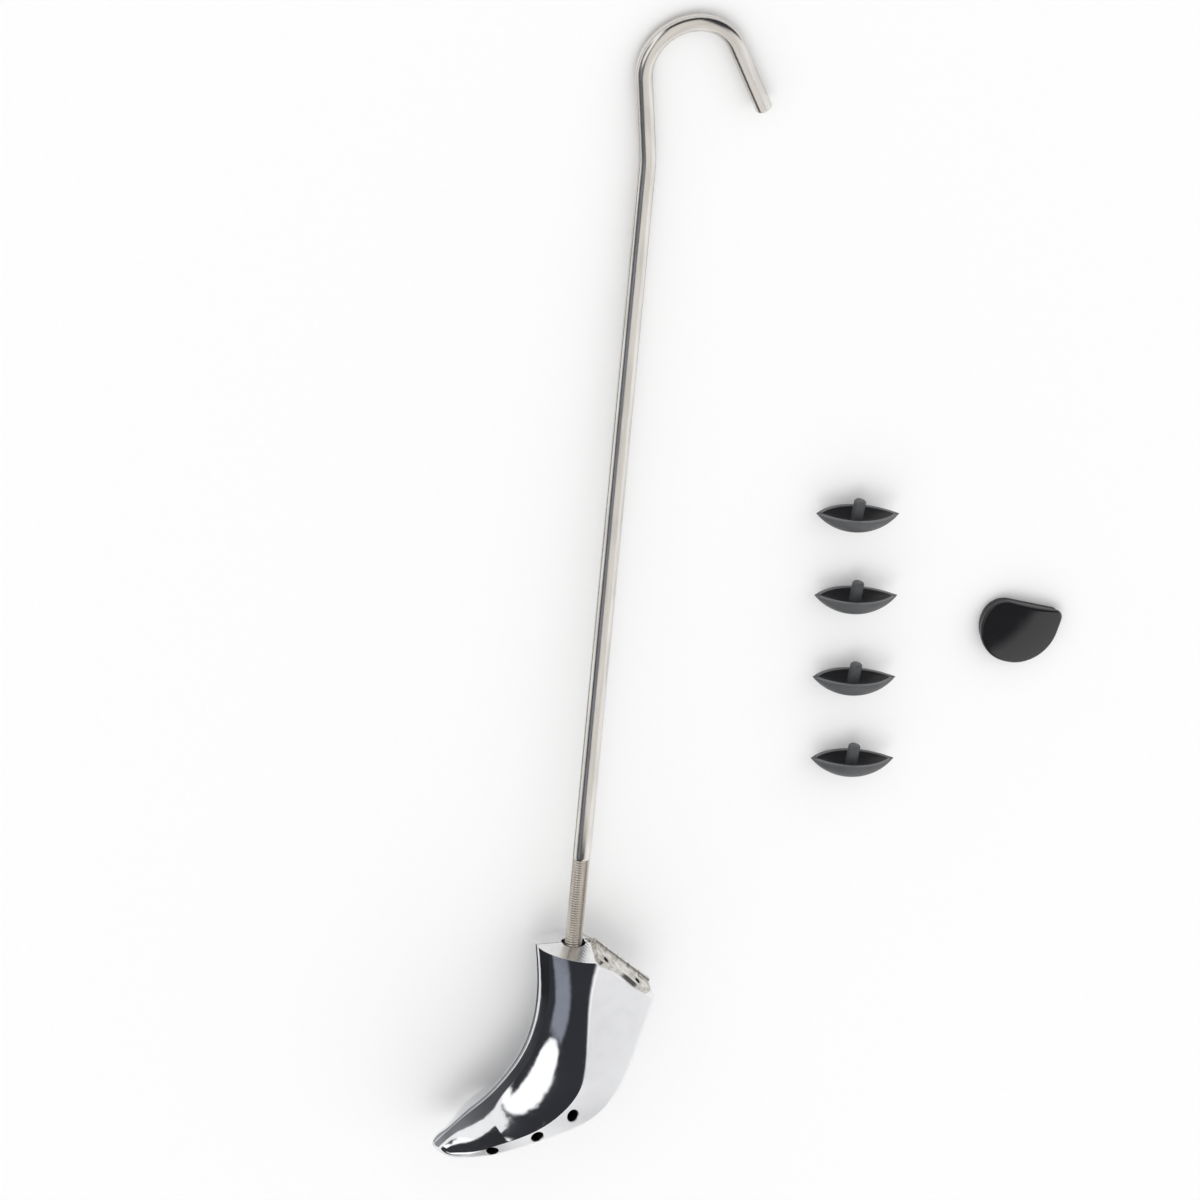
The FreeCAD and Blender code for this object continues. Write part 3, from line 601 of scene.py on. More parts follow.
def made_by(tree, mesh, values):
    """Plain mesh that a node tree makes with these sizes."""
    maker = show("maker", mesh)
    modifier = maker.modifiers.new("tree", "NODES")
    modifier.node_group = tree
    for item in tree.interface.items_tree:
        if item.name in values:
            modifier[item.identifier] = values[item.name]
    result = as_shown(maker)
    bpy.data.objects.remove(maker)
    return result


def row_of(mesh, first, step, count, material):
    """The same shape repeated in a row, as one plain mesh."""
    sample = show("sample", mesh)
    values = {"Shape": sample, "First": first, "Step": step, "Count": count, "Finish": material}
    result = made_by(row.tree, bpy.data.meshes.new("row"), values)
    bpy.data.objects.remove(sample)
    return result


plated_leaf, spot = finish("plated_leaf", METAL)
tarnish = spot.mottle(260.0, 4.0, 0.6)
rolled = spot.stretched((2400.0, 260.0, 2400.0), (0, 0, 0.9)).mottle(1.0, 3.0)
feed(plated_leaf, {
    "Base Color": tarnish.between(0.38, 0.66).tint((0.79, 0.775, 0.735), (0.50, 0.475, 0.42)),
    "Roughness": 0.22 + tarnish * 0.16 + rolled * 0.06,
    "Normal": (tarnish * 0.6 + rolled * 0.4).relief(0.10, 0.0003),
})


def hinge_leaf(name, side, first_knuckle, body, node):
    corners = [Vector((LEAF_START + share * LEAF_LENGTH, across)) for share, across in LEAF_EDGE]
    corners = [Vector((LEAF_START, LEAF_INNER)), *corners, Vector((LEAF_START + LEAF_LENGTH, LEAF_INNER))]
    outline = rounded_outline(corners, [0.5, 4.0, 16.0, 12.0, 4.0, 0.5], 12)
    middle = Vector((LEAF_START + LEAF_LENGTH / 2, 7.0))
    loops = []
    soft_edge = ((0.0, LEAF_T), (0.0, 0.4), (0.08, 0.18), (0.2, 0.05), (0.4, 0.0))
    for inset, drop in soft_edge:
        loop = []
        for point in outline:
            inward = point + (middle - point).normalized() * inset
            loop.append(on_heel(side, inward.x, inward.y, LEAF_T - drop))
        loops.append(loop)
    piece = show(name, place_in(closed_mesh(name, loops), to_table))
    piece.data.materials.append(plated_leaf)
    length = KNUCKLE_PITCH - KNUCKLE_GAP
    soft_end = ((0, 0.3), (0.12, 0.08), (0.35, 0))
    turning = [(run, KNUCKLE_R - cut) for run, cut in soft_end]
    turning += [(length - run, KNUCKLE_R - cut) for run, cut in soft_end[::-1]]
    knuckle = closed_mesh("knuckle", [circle(heel_down * run, heel_down, radius, 48) for run, radius in turning])
    web_loops = []
    for run in (0.0, length):
        flat = [(0.0, 0.0), (WEB_REACH, 0.0), (WEB_REACH, LEAF_T), (0.0, LEAF_T)]
        web_loops.append([on_heel(side, run, across, height) - heel_top for across, height in flat])
    web = closed_mesh("web", web_loops)
    first = LEAF_START + first_knuckle * KNUCKLE_PITCH + KNUCKLE_GAP / 2
    step = turn_only @ (heel_down * 2 * KNUCKLE_PITCH)
    count = 3 - first_knuckle
    for mesh, start in ((web, heel_top), (knuckle, hinge_centre)):
        at = to_table @ (start + heel_down * first)
        joined = row_of(place_in(mesh, turn_only), at, step, count, plated_leaf)
        piece.data = carved(piece, [joined], "UNION")
    bore = [circle(hinge_centre + heel_down * run, heel_down, PIN_BORE_R, 32) for run in (-4.0, 54.0)]
    bores = [closed_mesh("bore", bore)]
    for run, across in screw_spots:
        axis = on_heel(side, run, across, 1.0) - on_heel(side, run, across, 0.0)
        steps = ((-1.0, 1.9), (0.15, 1.9), (LEAF_T - 0.05, 3.2), (LEAF_T + 1.0, 3.35))
        seat = [circle(on_heel(side, run, across, height), axis, r, 48) for height, r in steps]
        bores.append(closed_mesh("seat", seat))
    dressed(piece, carved(piece, [place_in(bore, to_table) for bore in bores]))
    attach(piece, body)
    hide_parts(node)


hinge_leaf("leaf_far", -1, 0, "far_half", "far_hinge_leaf")
hinge_leaf("leaf_near", 1, 1, "near_half", "near_hinge_leaf")


# Hinge screws and pin. Two countersunk socket screws turned from steel hold each leaf, and a plain drawn pin
# with softened ends runs through the knuckles and stays with the far leaf.
turned_screw, spot = finish("turned_screw", METAL)
oiled = spot.mottle(600.0, 3.0)
# The hex sockets are coloured near black: painted shade inside the recess.
socket = spot.add("ShaderNodeAttribute", {"attribute_name": "socket"}, {}, "Fac")
steel = oiled.between(0.35, 0.7).tint((0.58, 0.57, 0.55), (0.33, 0.32, 0.305))
feed(turned_screw, {
    "Base Color": socket.tint(steel, (0.030, 0.030, 0.030)),
    "Roughness": 0.26 + oiled * 0.2 + socket * 0.25,
    "Normal": spot.mottle(2600.0, 2.0).relief(0.12, 0.0001),
})


def hexagon(centre, axis, across, count=48):
    """Points round a six-sided socket, as many as the circles have."""
    points = []
    for i, point in enumerate(circle(centre, axis, 1.0, count)):
        angle = math.tau * i / count
        turn = (angle % (math.tau / 6)) - math.tau / 12
        points.append(Vector(centre) + (point - Vector(centre)) * (across / 2 / math.cos(turn)))
    return points


def leaf_screws(name, side, body, node):
    axis = on_heel(side, 0, 0, 1.0) - on_heel(side, 0, 0, 0)
    turning = ((-9.4, 1.2), (-8.9, 1.7), (0.2, 1.7), (LEAF_T - 0.2, 3.0), (LEAF_T - 0.06, 3.08), (LEAF_T, 2.95))
    loops = [circle(axis * height, axis, radius, 48) for height, radius in turning]
    for depth, across in ((0.0, 3.5), (0.12, 3.3), (1.3, 3.2)):
        loops.append(hexagon(axis * (LEAF_T - depth), axis, across))
    screw = place_in(closed_mesh("screw", loops), turn_only)
    # Points of the socket's walls and floor, marked for their painted shade.
    socket_shade_marks = [float(i >= 48 * (len(loops) - 2)) for i in range(48 * len(loops))]
    screw.attributes.new("socket", "FLOAT", "POINT").data.foreach_set("value", socket_shade_marks)
    spots = [to_table @ on_heel(side, run, across, 0) for run, across in screw_spots]
    mesh = row_of(screw, spots[0], spots[1] - spots[0], len(spots), turned_screw)
    piece = dressed(show(name, mesh), mesh)
    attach(piece, body)
    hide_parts(node)


leaf_screws("screws_far", -1, "far_half", "far_leaf_screws")
leaf_screws("screws_near", 1, "near_half", "near_leaf_screws")
pin_turning = ((1.7, 0.75), (1.82, 0.98), (2.0, 1.1), (47.4, 1.1), (47.58, 0.98), (47.7, 0.75))
pin = closed_mesh("pin", [circle(hinge_centre + heel_down * run, heel_down, r, 32) for run, r in pin_turning])
pin.materials.append(turned_screw)
piece = dressed(show("pin", place_in(pin, to_table)), pin)
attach(piece, "far_half")
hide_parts("hinge_pin")


# Nut, spreader and their washers, inside the last. The brass nut is turned with a barrel crown so that it can
# rock between the halves; the cone, washers and open ring are hardened steel on the rod's foot.
turned_brass, spot = finish("turned_brass", METAL)
dull = spot.mottle(320.0, 4.0)
lathe = spot.stretched((300.0, 300.0, 5000.0)).mottle(1.0, 2.0)
feed(turned_brass, {
    "Base Color": dull.between(0.35, 0.7).tint((0.80, 0.62, 0.30), (0.58, 0.42, 0.19)),
    "Roughness": 0.24 + dull * 0.2,
    "Normal": lathe.relief(0.10, 0.0001),
})
hard_steel, spot = finish("hard_steel", METAL)
blued = spot.mottle(380.0, 4.0)
ground = spot.stretched((300.0, 6000.0, 300.0)).mottle(1.0, 2.0)
feed(hard_steel, {
    "Base Color": blued.between(0.3, 0.7).tint((0.50, 0.50, 0.51), (0.33, 0.32, 0.33)),
    "Roughness": 0.25 + blued * 0.18,
    "Normal": ground.relief(0.10, 0.0001),
})
for node, material in (
    ("trunnion_nut", turned_brass), ("spreader_cone", hard_steel), ("thrust_washer", hard_steel),
    ("end_washer", hard_steel), ("retaining_ring", hard_steel),
):
    inner = frame["nodes"][node]
    if not inner.material_slots:
        inner.data.materials.append(material)
    for slot in inner.material_slots:
        slot.material = material


# Hook rod. One drawn steel bar with a satin nickel finish, bent to a hook at the top and threaded at the foot,
# where it screws through the nut; the thread runs out a hand's breadth above the last.
ROD_R, THREAD_R, THREAD_PITCH, THREAD_DEPTH, THREAD_TOP = 5.0, 4.85, 1.5, 0.42, 52.5
SHANK_TOP, JOG_DEG, JOG_R, JOG_RUN = 481.0, 7.5, 80.0, 46.0
HOOK_R, HOOK_TURN_DEG, HOOK_TAIL, TIP_ROUND = 27.8, 161.5, 46.0, 1.6
ring_top = SHOULDER_Z - 16.7
bar = [(ring_top - drop, radius) for drop, radius in ((3.0, 2.7), (2.2, 3.5), (1.0, 3.5), (0.99, 2.7), (0.01, 2.7))]
bar += [(ring_top, 3.5), (SHOULDER_Z - 0.02, 3.5), (SHOULDER_Z, THREAD_R)]
bar += [(z, THREAD_R) for z in np.arange(SHOULDER_Z + 0.25, THREAD_TOP, THREAD_PITCH / 6)]
bar += [(THREAD_TOP + 0.1, THREAD_R - 0.1), (THREAD_TOP + 0.8, ROD_R)]
bar += [(z, ROD_R) for z in np.arange(THREAD_TOP + 1.2, SHANK_TOP, 4.0)]
rod_line = [(Vector((0, 0, z)), radius) for z, radius in bar]
place, heading = Vector((0, 0, SHANK_TOP)), 0.0


def ahead_of(angle):
    return Vector((-math.sin(angle), 0, math.cos(angle)))


for radius, turn in ((JOG_R, -JOG_DEG), (JOG_RUN, 0), (HOOK_R, HOOK_TURN_DEG), (HOOK_TAIL - TIP_ROUND, 0)):
    if turn:
        steps = int(abs(turn) / 2.5) + 2
        bend = math.radians(turn) / steps
        for step in range(steps):
            rod_line.append((place, ROD_R))
            chord = 2 * radius * math.sin(abs(bend) / 2)
            place = place + ahead_of(heading + bend / 2) * chord
            heading = heading + bend
    else:
        for step in range(12):
            rod_line.append((place + ahead_of(heading) * radius * step / 12, ROD_R))
        place = place + ahead_of(heading) * radius
for step in range(7):
    angle = math.radians(15 * step)
    tip = place + ahead_of(heading) * TIP_ROUND * math.sin(angle)
    rod_line.append((tip, ROD_R - TIP_ROUND * (1 - math.cos(angle))))

rod_nodes, sizes = new_tree("threaded_bar", {
    "Geometry": "Geometry", "Radius": "Float", "Pitch": "Float", "Depth": "Float",
    "Thread Foot": "Float", "Thread Top": "Float", "Finish": "Material",
})
pitch, foot, top = sizes["Pitch"], sizes["Thread Foot"], sizes["Thread Top"]


def stored(shape, kind, name, value):
    """The shape with a value kept at each of its points."""
    settings = {"data_type": kind, "domain": "POINT"}
    return shape.add("GeometryNodeStoreNamedAttribute", settings, {"Geometry": shape, "Name": name, "Value": value})


def kept(name):
    return rod_nodes.add("GeometryNodeInputNamedAttribute", {"data_type": "FLOAT"}, {"Name": name})


path = rod_nodes.add("GeometryNodeMeshToCurve", {}, {"Mesh": sizes["Geometry"]})
hoop_sizes = {"Resolution": 56, "Radius": sizes["Radius"]}
hoop = rod_nodes.add("GeometryNodeCurvePrimitiveCircle", {"mode": "RADIUS"}, hoop_sizes)
hoop = stored(hoop, "FLOAT", "around", rod_nodes.add("GeometryNodeSplineParameter", {}, {}, "Factor"))
tube = rod_nodes.add("GeometryNodeCurveToMesh", {}, {"Curve": path, "Profile Curve": hoop, "Fill Caps": True})
around, along, bar_radius = kept("around"), kept("along"), kept("bar_radius")
helix = rod_nodes.maths("FRACT", rod_nodes.maths("DIVIDE", along, pitch) - around)
valley = rod_nodes.maths("ABSOLUTE", helix - 0.5) * 2.0
foot_end = {"Value": along, "From Min": foot, "From Max": foot + pitch}
top_end = {"Value": along, "From Min": top + pitch, "From Max": top}
threaded = rod_nodes.add("ShaderNodeMapRange", {}, foot_end) * rod_nodes.add("ShaderNodeMapRange", {}, top_end)
grow = bar_radius - sizes["Radius"] - threaded * (valley * sizes["Depth"])
outward = rod_nodes.add("GeometryNodeInputNormal", {}, {})
push = rod_nodes.add("ShaderNodeVectorMath", {"operation": "SCALE"}, {"Vector": outward, "Scale": grow})
shaped = rod_nodes.add("GeometryNodeSetPosition", {}, {"Geometry": tube, "Offset": push})
turned = around * math.tau
grain_at = rod_nodes.add("ShaderNodeCombineXYZ", {}, {
    "X": rod_nodes.maths("COSINE", turned), "Y": rod_nodes.maths("SINE", turned), "Z": along,
})
end_tree(stored(shaped, "FLOAT_VECTOR", "bar_grain", grain_at), sizes["Finish"])

nickel_bar, spot = finish("nickel_bar", METAL, "bar_grain")
height = spot.add("ShaderNodeSeparateXYZ", {}, {"Vector": spot}, "Z")
drawn = spot.stretched((9.0, 9.0, 6.0)).mottle(1.0, 3.0, 0.6)
blotch = spot.stretched((1.2, 1.2, 30.0)).mottle(1.0, 4.0)
threaded = 1 - height.between(0.0515, 0.0535)
plain = blotch.between(0.35, 0.7).tint((0.77, 0.745, 0.71), (0.66, 0.635, 0.60))
oily = blotch.between(0.3, 0.7).tint((0.70, 0.655, 0.59), (0.55, 0.50, 0.44))
feed(nickel_bar, {
    "Base Color": threaded.tint(plain, oily),
    "Roughness": 0.12 + drawn * 0.12 + blotch * 0.08 + threaded * 0.14,
    "Normal": drawn.relief(0.14, 0.00025),
})

line_mesh = bpy.data.meshes.new("rod_line")
rod_edges = [(i, i + 1) for i in range(len(rod_line) - 1)]
line_mesh.from_pydata([to_table @ point for point, radius in rod_line], rod_edges, [])
run, runs = rod_line[0][0].z, [rod_line[0][0].z]
for (before, _), (after, _) in zip(rod_line, rod_line[1:]):
    run = run + (after - before).length
    runs.append(run)
for label, values in (("along", runs), ("bar_radius", [radius for point, radius in rod_line])):
    line_mesh.attributes.new(label, "FLOAT", "POINT").data.foreach_set("value", [value / 1000 for value in values])
mesh = made_by(rod_nodes.tree, line_mesh, {
    "Radius": ROD_R / 1000, "Pitch": THREAD_PITCH / 1000, "Depth": THREAD_DEPTH / 1000,
    "Thread Foot": SHOULDER_Z / 1000, "Thread Top": THREAD_TOP / 1000, "Finish": nickel_bar,
})
piece = dressed(show("rod", mesh), mesh, 38.0)
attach(piece, "rod")
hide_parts("rod_shank", "rod_hook")


# Plugs. Four hollow half spindles moulded in matte dark plastic, each with a round peg that pushes into a hole
# in the last, to press out one tender spot of a shoe. They lie loose on their sides, pegs away from the front.
PLUG_LENGTH, PLUG_DEPTH, PLUG_WALL, PEG_R, PEG_RISE = 50.0, 10.8, 2.2, 3.4, 8.2
PLUG_RIM_ROUND, PEG_ROUND = 0.45, 1.3
sagitta = (PLUG_LENGTH ** 2 / 4 + PLUG_DEPTH ** 2) / (2 * PLUG_DEPTH)
hollow_tip = math.sqrt((sagitta - PLUG_WALL) ** 2 - (sagitta - PLUG_DEPTH) ** 2)

moulded_plug, spot = finish("moulded_plug", {"Metallic": 0.0, "IOR": 1.48})
rim_mark = spot.add("ShaderNodeAttribute", {"attribute_name": "rim"}, {}, "Fac")
spark = spot.mottle(2600.0, 2.0, 0.6)
rub = spot.mottle(130.0, 4.0)
body_grey = rub.between(0.35, 0.7).tint((0.090, 0.092, 0.096), (0.074, 0.076, 0.080))
# The rim is made lighter and a little glossier: partly scuffs, partly painted highlight where it catches the light.
rim_scuff_and_highlight, hollow_shade_and_peg_dark = rim_mark.between(0.1, 1.0), (0 - rim_mark).between(0.1, 0.6)
# The inside of the dish is coloured darker and glossier: painted shade in the recess. The pegs come out part way
# darker by the same mask.
body_grey = hollow_shade_and_peg_dark.tint(body_grey, (0.036, 0.037, 0.040))
feed(moulded_plug, {
    "Base Color": (rim_scuff_and_highlight * 0.7).tint(body_grey, (0.16, 0.162, 0.167)),
    "Roughness": 0.43 + spark * 0.12 - rim_scuff_and_highlight * 0.08 - hollow_shade_and_peg_dark * 0.14,
    "Normal": (spark * 0.7 + rub * 0.3).relief(0.10, 0.00012),
})


def plug_shell():
    """Hull with its rounded rim, closed, in the plug's own axes: along, across and up the peg."""
    shape = bmesh.new()
    mark = shape.verts.layers.float.new("rim")
    corner = [math.radians(step) for step in (30, 60, 90)]
    loops = []
    spots = list(PLUG_LENGTH / 2 * np.sin(np.linspace(-math.pi / 2, math.pi / 2, 57)))
    spots = sorted(spots + [-hollow_tip, hollow_tip])
    for x in spots:
        outer = max(math.sqrt(sagitta ** 2 - x * x) - (sagitta - PLUG_DEPTH), 0.0)
        inner = 0.0
        if abs(x) < hollow_tip:
            inner = max(math.sqrt((sagitta - PLUG_WALL) ** 2 - x * x) - (sagitta - PLUG_DEPTH), 0.0)
        soft = min(PLUG_RIM_ROUND, (outer - inner) * 0.3)
        low = math.asin(min(soft / outer, 1)) if outer > 1e-9 else 0
        low_in, edge_in, soft_in = 0, 0.0, 0.0
        if inner > soft:
            low_in, soft_in = math.asin(soft / inner), soft
            edge_in = inner * math.cos(low_in)
        edge = outer * math.cos(low)
        # Rim points are marked 1 for their lighter colour, which is partly scuffs and partly painted highlight.
        ring = [(edge - soft * (1 - math.cos(a)), -soft * (1 - math.sin(a)), 1.0) for a in corner]
        ring += [(edge_in + soft_in * (1 - math.cos(a)), -soft_in * (1 - math.sin(a)), 1.0) for a in corner[::-1]]
        loop = [(outer * math.cos(a), -outer * math.sin(a), 0.0) for a in np.linspace(low, math.pi - low, 41)]
        loop += [(-y, z, m) for y, z, m in ring]
        # Points inside the dish are marked -1 for their painted shade.
        for a in np.linspace(math.pi - low_in, low_in, 33):
            loop.append((inner * math.cos(a), -inner * math.sin(a), -1.0))
        loop += ring[::-1]
        verts = []
        for y, z, m in loop:
            vert = shape.verts.new((x, y, z))
            vert[mark] = m
            verts.append(vert)
        loops.append(verts)
    for lower, upper in zip(loops, loops[1:]):
        for i in range(len(lower)):
            shape.faces.new((lower[i - 1], lower[i], upper[i], upper[i - 1]))
    bmesh.ops.remove_doubles(shape, verts=shape.verts, dist=1e-4)
    bmesh.ops.dissolve_degenerate(shape, edges=shape.edges, dist=1e-4)
    return mesh_of("plug", shape)


def plug_peg():
    floor = PLUG_WALL - PLUG_DEPTH
    fillet = ((-0.8, 0.9), (0.1, 0.9), (0.4, 0.35), (1.0, 0))
    turning = [(floor + rise, PEG_R + more) for rise, more in fillet]
    for step in range(7):
        angle = math.radians(15 * step)
        radius = PEG_R - PEG_ROUND * (1 - math.cos(angle))
        turning.append((PEG_RISE - PEG_ROUND * (1 - math.sin(angle)), radius))
    mesh = closed_mesh("peg", [circle((0, 0, z), (0, 0, 1), radius, 48) for z, radius in turning])
    # Pegs are marked -0.35, which makes them darker, half way to the painted shade inside the dish.
    mesh.attributes.new("rim", "FLOAT", "POINT").data.foreach_set("value", [-0.35] * len(mesh.vertices))
    return mesh


plug_turn = math.radians(-5.3)
hull_reach = sagitta - (sagitta - PLUG_DEPTH) * math.cos(plug_turn)
side_down = Matrix(((1, 0, 0), (0, 0, 1), (0, -1, 0))).to_4x4() @ in_metres


def plug_middle(node):
    """Middle of a plug's rim, from its place on the table."""
    low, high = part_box(node)
    return Vector(((low[0] + high[0]) / 2, low[1] + hull_reach / 1000, PLUG_DEPTH / 1000))


for number in (1, 2, 3, 4):
    node = "plug_%d" % number
    lay = Matrix.Translation(plug_middle(node)) @ Matrix.Rotation(plug_turn, 4, "Z") @ side_down
    piece = show("plug_shell_%d" % number, place_in(plug_shell(), lay))
    piece.data.materials.append(moulded_plug)
    dressed(piece, carved(piece, [place_in(plug_peg(), lay)], "UNION"), 40.0)
    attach(piece, node)
    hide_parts(node)


# Pad. A domed D-shaped cover in glossy black plastic on a matte rubber base, with a groove between them; it
# lies loose, dome up, beside the plugs.
PAD_COVER_T, PAD_CROWN_R, PAD_EDGE_ROUND, PAD_EDGE_DEG, PAD_BASE_T, PAD_GROOVE = 6.4, 75.0, 2.2, 74, 4.6, 0.9
PAD_HALF, PAD_BACK, PAD_CORNERS, PAD_TURN = 23.5, 18.0, (13.0, 5.6, 22.5, 22.5), math.radians(-17)
beside_plug = plug_middle("plug_1") + Vector((0.1054, -0.0883, -PLUG_DEPTH / 1000))
pad_lay = Matrix.Translation(beside_plug) @ Matrix.Rotation(PAD_TURN, 4, "Z") @ in_metres


def pad_outline(inset, count=168):
    """Points spread evenly round the D outline, drawn in from its edge."""
    half, back = PAD_HALF - inset, PAD_BACK - inset
    corners = [Vector((-half, back)), Vector((half, back)), Vector((half, -back)), Vector((-half, -back))]
    outline = rounded_outline(corners, [radius - inset for radius in PAD_CORNERS], 24)
    outline.append(outline[0])
    runs = np.concatenate(((0.0,), np.cumsum([(b - a).length for a, b in zip(outline, outline[1:])])))
    spread = np.linspace(0, runs[-1], count, endpoint=False)
    xs, ys = [np.interp(spread, runs, [point[k] for point in outline]) for k in (0, 1)]
    return [Vector((x, y)) for x, y in zip(xs, ys)]


gloss_pad, spot = finish("gloss_pad", {"Metallic": 0.0, "IOR": 1.5})
handled = spot.mottle(90.0, 4.0)
dust = spot.mottle(900.0, 3.0).between(0.6, 0.75)
feed(gloss_pad, {
    "Base Color": (dust * 0.12).tint((0.013, 0.013, 0.0145), (0.045, 0.045, 0.048)),
    "Roughness": 0.12 + handled.between(0.4, 0.7) * 0.08 + dust * 0.05,
    "Normal": spot.mottle(120.0, 2.0).relief(0.05, 0.0003),
})
rubber_base, spot = finish("rubber_base", {"Metallic": 0.0, "IOR": 1.5})
bloom = spot.mottle(150.0, 4.0)
pores = spot.mottle(1900.0, 2.0)
feed(rubber_base, {
    "Base Color": bloom.between(0.35, 0.7).tint((0.026, 0.026, 0.028), (0.040, 0.040, 0.042)),
    "Roughness": 0.48 + pores * 0.16,
    "Normal": pores.relief(0.12, 0.00015),
})

base_steps = (
    (2.2, 0.0), (1.9, 0.04), (1.5, 0.3), (1.24, 0.7), (1.2, 1.0),
    (1.2, 4.2), (1.32, 4.48), (1.6, 4.6), (2.4, 4.6), (2.4, 5.5),
)
base_loops = [[Vector((p.x, p.y, height)) for p in pad_outline(inset)] for inset, height in base_steps]
piece = show("pad_foot", place_in(closed_mesh("pad_foot", base_loops), pad_lay))
piece.data.materials.append(rubber_base)
dressed(piece, piece.data, 40.0)
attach(piece, "pad")
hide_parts("pad_base")

cover_foot = PAD_BASE_T + PAD_GROOVE
crown_top = cover_foot + PAD_COVER_T


def crown(point):
    return crown_top - PAD_CROWN_R + math.sqrt(PAD_CROWN_R ** 2 - point.x ** 2 - point.y ** 2)


cover_loops = []
for inset, height in ((0.5, 0.0), (0.15, 0.15), (0.0, 0.5)):
    cover_loops.append([Vector((p.x, p.y, cover_foot + height)) for p in pad_outline(inset)])
edge_turn = math.radians(PAD_EDGE_DEG)
shoulder = pad_outline(PAD_EDGE_ROUND * (1 - math.cos(edge_turn)))
for step in range(9):
    angle = math.radians(PAD_EDGE_DEG * step / 8)
    ring = pad_outline(PAD_EDGE_ROUND * (1 - math.cos(angle)))
    drop = PAD_EDGE_ROUND * (math.sin(edge_turn) - math.sin(angle))
    cover_loops.append([Vector((p.x, p.y, crown(q) - drop)) for p, q in zip(ring, shoulder)])
for share in np.linspace(0.94, 0.04, 24):
    cover_loops.append([Vector((p.x * share, p.y * share, crown(p * share))) for p in shoulder])
piece = show("pad_dome", place_in(closed_mesh("pad_dome", cover_loops), pad_lay))
piece.data.materials.append(gloss_pad)
dressed(piece, piece.data, 40.0)
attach(piece, "pad")
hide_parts("pad_cover")


# Table, light and camera. A plain white table in a dark studio. A row of round lamps to the left, a dim window and
# a wide soft box to the right show in the polish, shaped by dark cards beside last and rod and a light card over
# the rod, and an even soft light falls on the rest.
VIEW_TURN, VIEW_DIP, VIEW_ROLL = math.radians(22), math.radians(27), math.radians(5.4)
side_way = Vector((-math.cos(VIEW_TURN), math.sin(VIEW_TURN), 0))
lean = -math.sin(VIEW_DIP)
rod_way = Vector((lean * math.sin(VIEW_TURN), lean * math.cos(VIEW_TURN), math.cos(VIEW_DIP)))
right = tool_turn @ (side_way * math.cos(VIEW_ROLL) + rod_way * math.sin(VIEW_ROLL))
above = tool_turn @ (rod_way * math.cos(VIEW_ROLL) - side_way * math.sin(VIEW_ROLL))
toward = right.cross(above)
AIM_RIGHT, AIM_ABOVE, PICTURE_WIDTH, LENS, SENSOR = 0.01472, 0.1894, 0.6667, 1000.0, 36.0
aim = Vector(joints["rod_turn"]["pos_m"]) + right * AIM_RIGHT + above * AIM_ABOVE
lens = bpy.data.cameras.new("camera")
lens.lens, lens.sensor_width, lens.clip_end = LENS, SENSOR, 200.0
camera = bpy.data.objects.new("camera", lens)
turn = Matrix((right, above, toward)).transposed().to_4x4()
camera.matrix_world = Matrix.Translation(aim + toward * (PICTURE_WIDTH * LENS / SENSOR)) @ turn
bpy.context.scene.collection.objects.link(camera)
bpy.context.scene.camera = camera
bpy.context.scene.view_settings.view_transform = "Standard"

table = bpy.data.meshes.new("table")
table.from_pydata([(-30, -30, 0), (30, -30, 0), (30, 30, 0), (-30, 30, 0)], [], [(0, 1, 2, 3)])
MATT = {"Metallic": 0.0, "Specular IOR Level": 0.0}
table_white, spot = finish("table_white", MATT)
paper = spot.mottle(300.0, 3.0)
paper_white = paper.tint((0.96, 0.96, 0.96), (0.975, 0.975, 0.975))
feed(table_white, {"Base Color": paper_white, "Roughness": 0.8 + paper * 0.1})
table.materials.append(table_white)
show("table", table)

card_black, spot = finish("card_black", {**MATT, "Roughness": 0.9})
toe_end = 1 - spot.add("ShaderNodeSeparateXYZ", {}, {"Vector": spot}, "Y").between(-0.325, -0.275)
low_end = 1 - spot.add("ShaderNodeSeparateXYZ", {}, {"Vector": spot}, "Z").between(0.045, 0.047)
felt = spot.mottle(400.0, 3.0) * 0.04
feed(card_black, {"Base Color": (toe_end * low_end * 0.96 + felt).tint((0.035, 0.036, 0.04), (0.34, 0.35, 0.37))})

card_white, spot = finish("card_white", {**MATT, "Emission Strength": 1.0})
weave = spot.mottle(400.0, 3.0)
feed(card_white, {
    "Base Color": weave.tint((0.0, 0.0, 0.0), (0.01, 0.01, 0.01)),
    "Emission Color": weave.tint((0.82, 0.80, 0.775), (0.86, 0.84, 0.815)),
})


def studio_card(name, first_edge, second_edge, surface):
    """Card between two lines of points, which only shows in polished faces."""
    count = len(first_edge)
    faces = [(i, i + 1, count + i + 1, count + i) for i in range(count - 1)]
    mesh = bpy.data.meshes.new(name)
    mesh.from_pydata(list(first_edge) + list(second_edge), [], faces)
    mesh.materials.append(surface)
    card = show(name, mesh)
    card.visible_camera = card.visible_diffuse = card.visible_shadow = False


def beside_ridge(gap, heights, first=0):
    """Line that follows the ridge of the last at a distance from it, at the given heights over the table."""
    line = []
    ridge_line = skin_point(0, 0.0, np.linspace(0.0, stations[-1], 60))
    for (x, _, z), (dx, _, dz) in zip(ridge_line, np.gradient(ridge_line, axis=0)):
        line.append(to_table @ (Vector((x, 0, z)) + Vector((-dz, 0, dx)).normalized() * gap))
    line = line[first:]
    line.append(line[-1] + (line[-1] - line[-8]).normalized() * 0.035)
    return [(p.x, p.y, height) for p, height in zip(line, np.linspace(*heights, len(line)))]


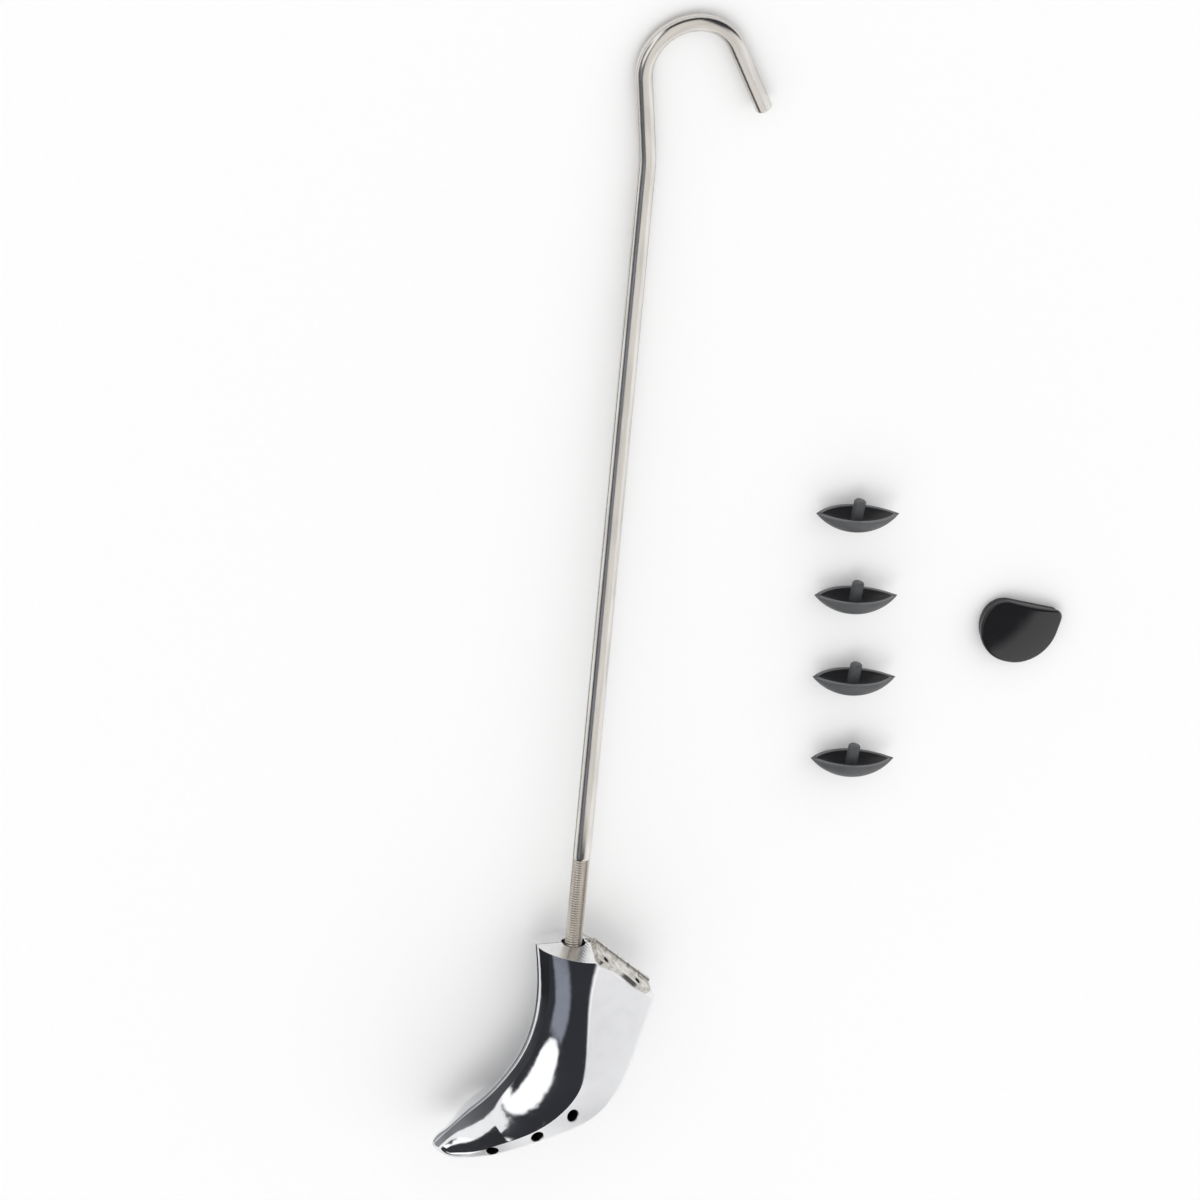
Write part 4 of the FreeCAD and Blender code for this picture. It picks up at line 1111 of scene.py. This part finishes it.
CARD_GAP, CARD_FOOT, TOE_START = 34.0, 0.001, 43
on_floor = (CARD_FOOT, CARD_FOOT)
for name, foot_line, top_line in (
    ("flank_card", (CARD_GAP, on_floor), (CARD_GAP, (0.046, 0.031))),
    ("toe_card", (CARD_GAP, (0.0455, 0.048), TOE_START), (CARD_GAP, (0.075, 0.075), TOE_START)),
    ("floor_card", (0.0, on_floor), (15.0, on_floor)),
):
    studio_card(name, beside_ridge(*foot_line), beside_ridge(*top_line), card_black)
bar_places = [point for point, radius in rod_line if point.z > 20]
for name, gap in (("rod_card_left", 16), ("rod_card_right", -16)):
    beside_bar = []
    for before, here, after in zip(bar_places, bar_places[1:], bar_places[2:]):
        ahead = (after - before).normalized()
        beside_bar.append(to_table @ (here + Vector((ahead.z, 0, -ahead.x)) * gap))
    bar_foot = [(p.x, p.y, CARD_FOOT) for p in beside_bar]
    studio_card(name, bar_foot, [(p.x, p.y, p.z * 0.5) for p in beside_bar], card_black)
over_rod = [[to_table @ Vector((x, 93, z)) for z in (18, SHANK_TOP + 220)] for x in (60, -90)]
studio_card("roof_card", *over_rod, card_white)

world = bpy.data.worlds.new("studio")
bpy.context.scene.world = world
world.use_nodes = True
sky = Grain(world.node_tree)
ray = sky.add("ShaderNodeTexCoord", {}, {}, "Generated")


def way_to(azimuth, rise):
    azimuth, rise = math.radians(azimuth), math.radians(rise)
    return Vector((math.cos(rise) * math.cos(azimuth), math.cos(rise) * math.sin(azimuth), math.sin(rise)))


def along_way(axis):
    """How far the seen way points along an axis."""
    return sky.add("ShaderNodeVectorMath", {"operation": "DOT_PRODUCT"}, {0: ray, 1: axis}, "Value")


def soft_panel(azimuth, rise, half_width, half_height, edge):
    """Mask of a flat light panel far away, by the way to its middle and its half sizes at unit distance."""
    middle = way_to(azimuth, rise)
    side = way_to(azimuth + 90, 0)
    ahead, across, over = along_way(middle), along_way(side), along_way(middle.cross(side))
    inside = (ahead * half_width - sky.maths("ABSOLUTE", across)).between(0.0, edge)
    return inside * (ahead * half_height - sky.maths("ABSOLUTE", over)).between(0.0, edge)


room = soft_panel(-150, 32, 0.24, 0.28, 0.12).tint((0.035, 0.036, 0.042), (0.26, 0.28, 0.33))
room = soft_panel(-42, 24, 1.10, 0.90, 0.30).tint(room, (1.05, 1.05, 1.05))
for azimuth, rise, reach in (
    (178, 31, 15), (165, 31, 15), (153, 27, 13), (142, 19, 11), (134, 10, 8), (145, 2, 7),
):
    facing = along_way(way_to(azimuth, rise))
    edge, core = math.cos(math.radians(reach + 2)), math.cos(math.radians(reach - 2))
    room = facing.between(edge, core).tint(room, (1.25, 1.25, 1.25))
room = sky.add("ShaderNodeLightPath", {}, {}, "Is Diffuse Ray").tint(room, (0.90, 0.90, 0.90))
background = world.node_tree.nodes["Background"]
world.node_tree.links.new(room.socket, background.inputs["Color"])

lamp = bpy.data.lights.new("ceiling_box", "SUN")
lamp.energy = 0.40
lamp.angle = math.radians(38)
ceiling_box = bpy.data.objects.new("ceiling_box", lamp)
ceiling_box.rotation_euler = Vector((0.35, 0.30, -1.0)).to_track_quat("-Z", "Y").to_euler()
ceiling_box.visible_glossy = False
bpy.context.scene.collection.objects.link(ceiling_box)
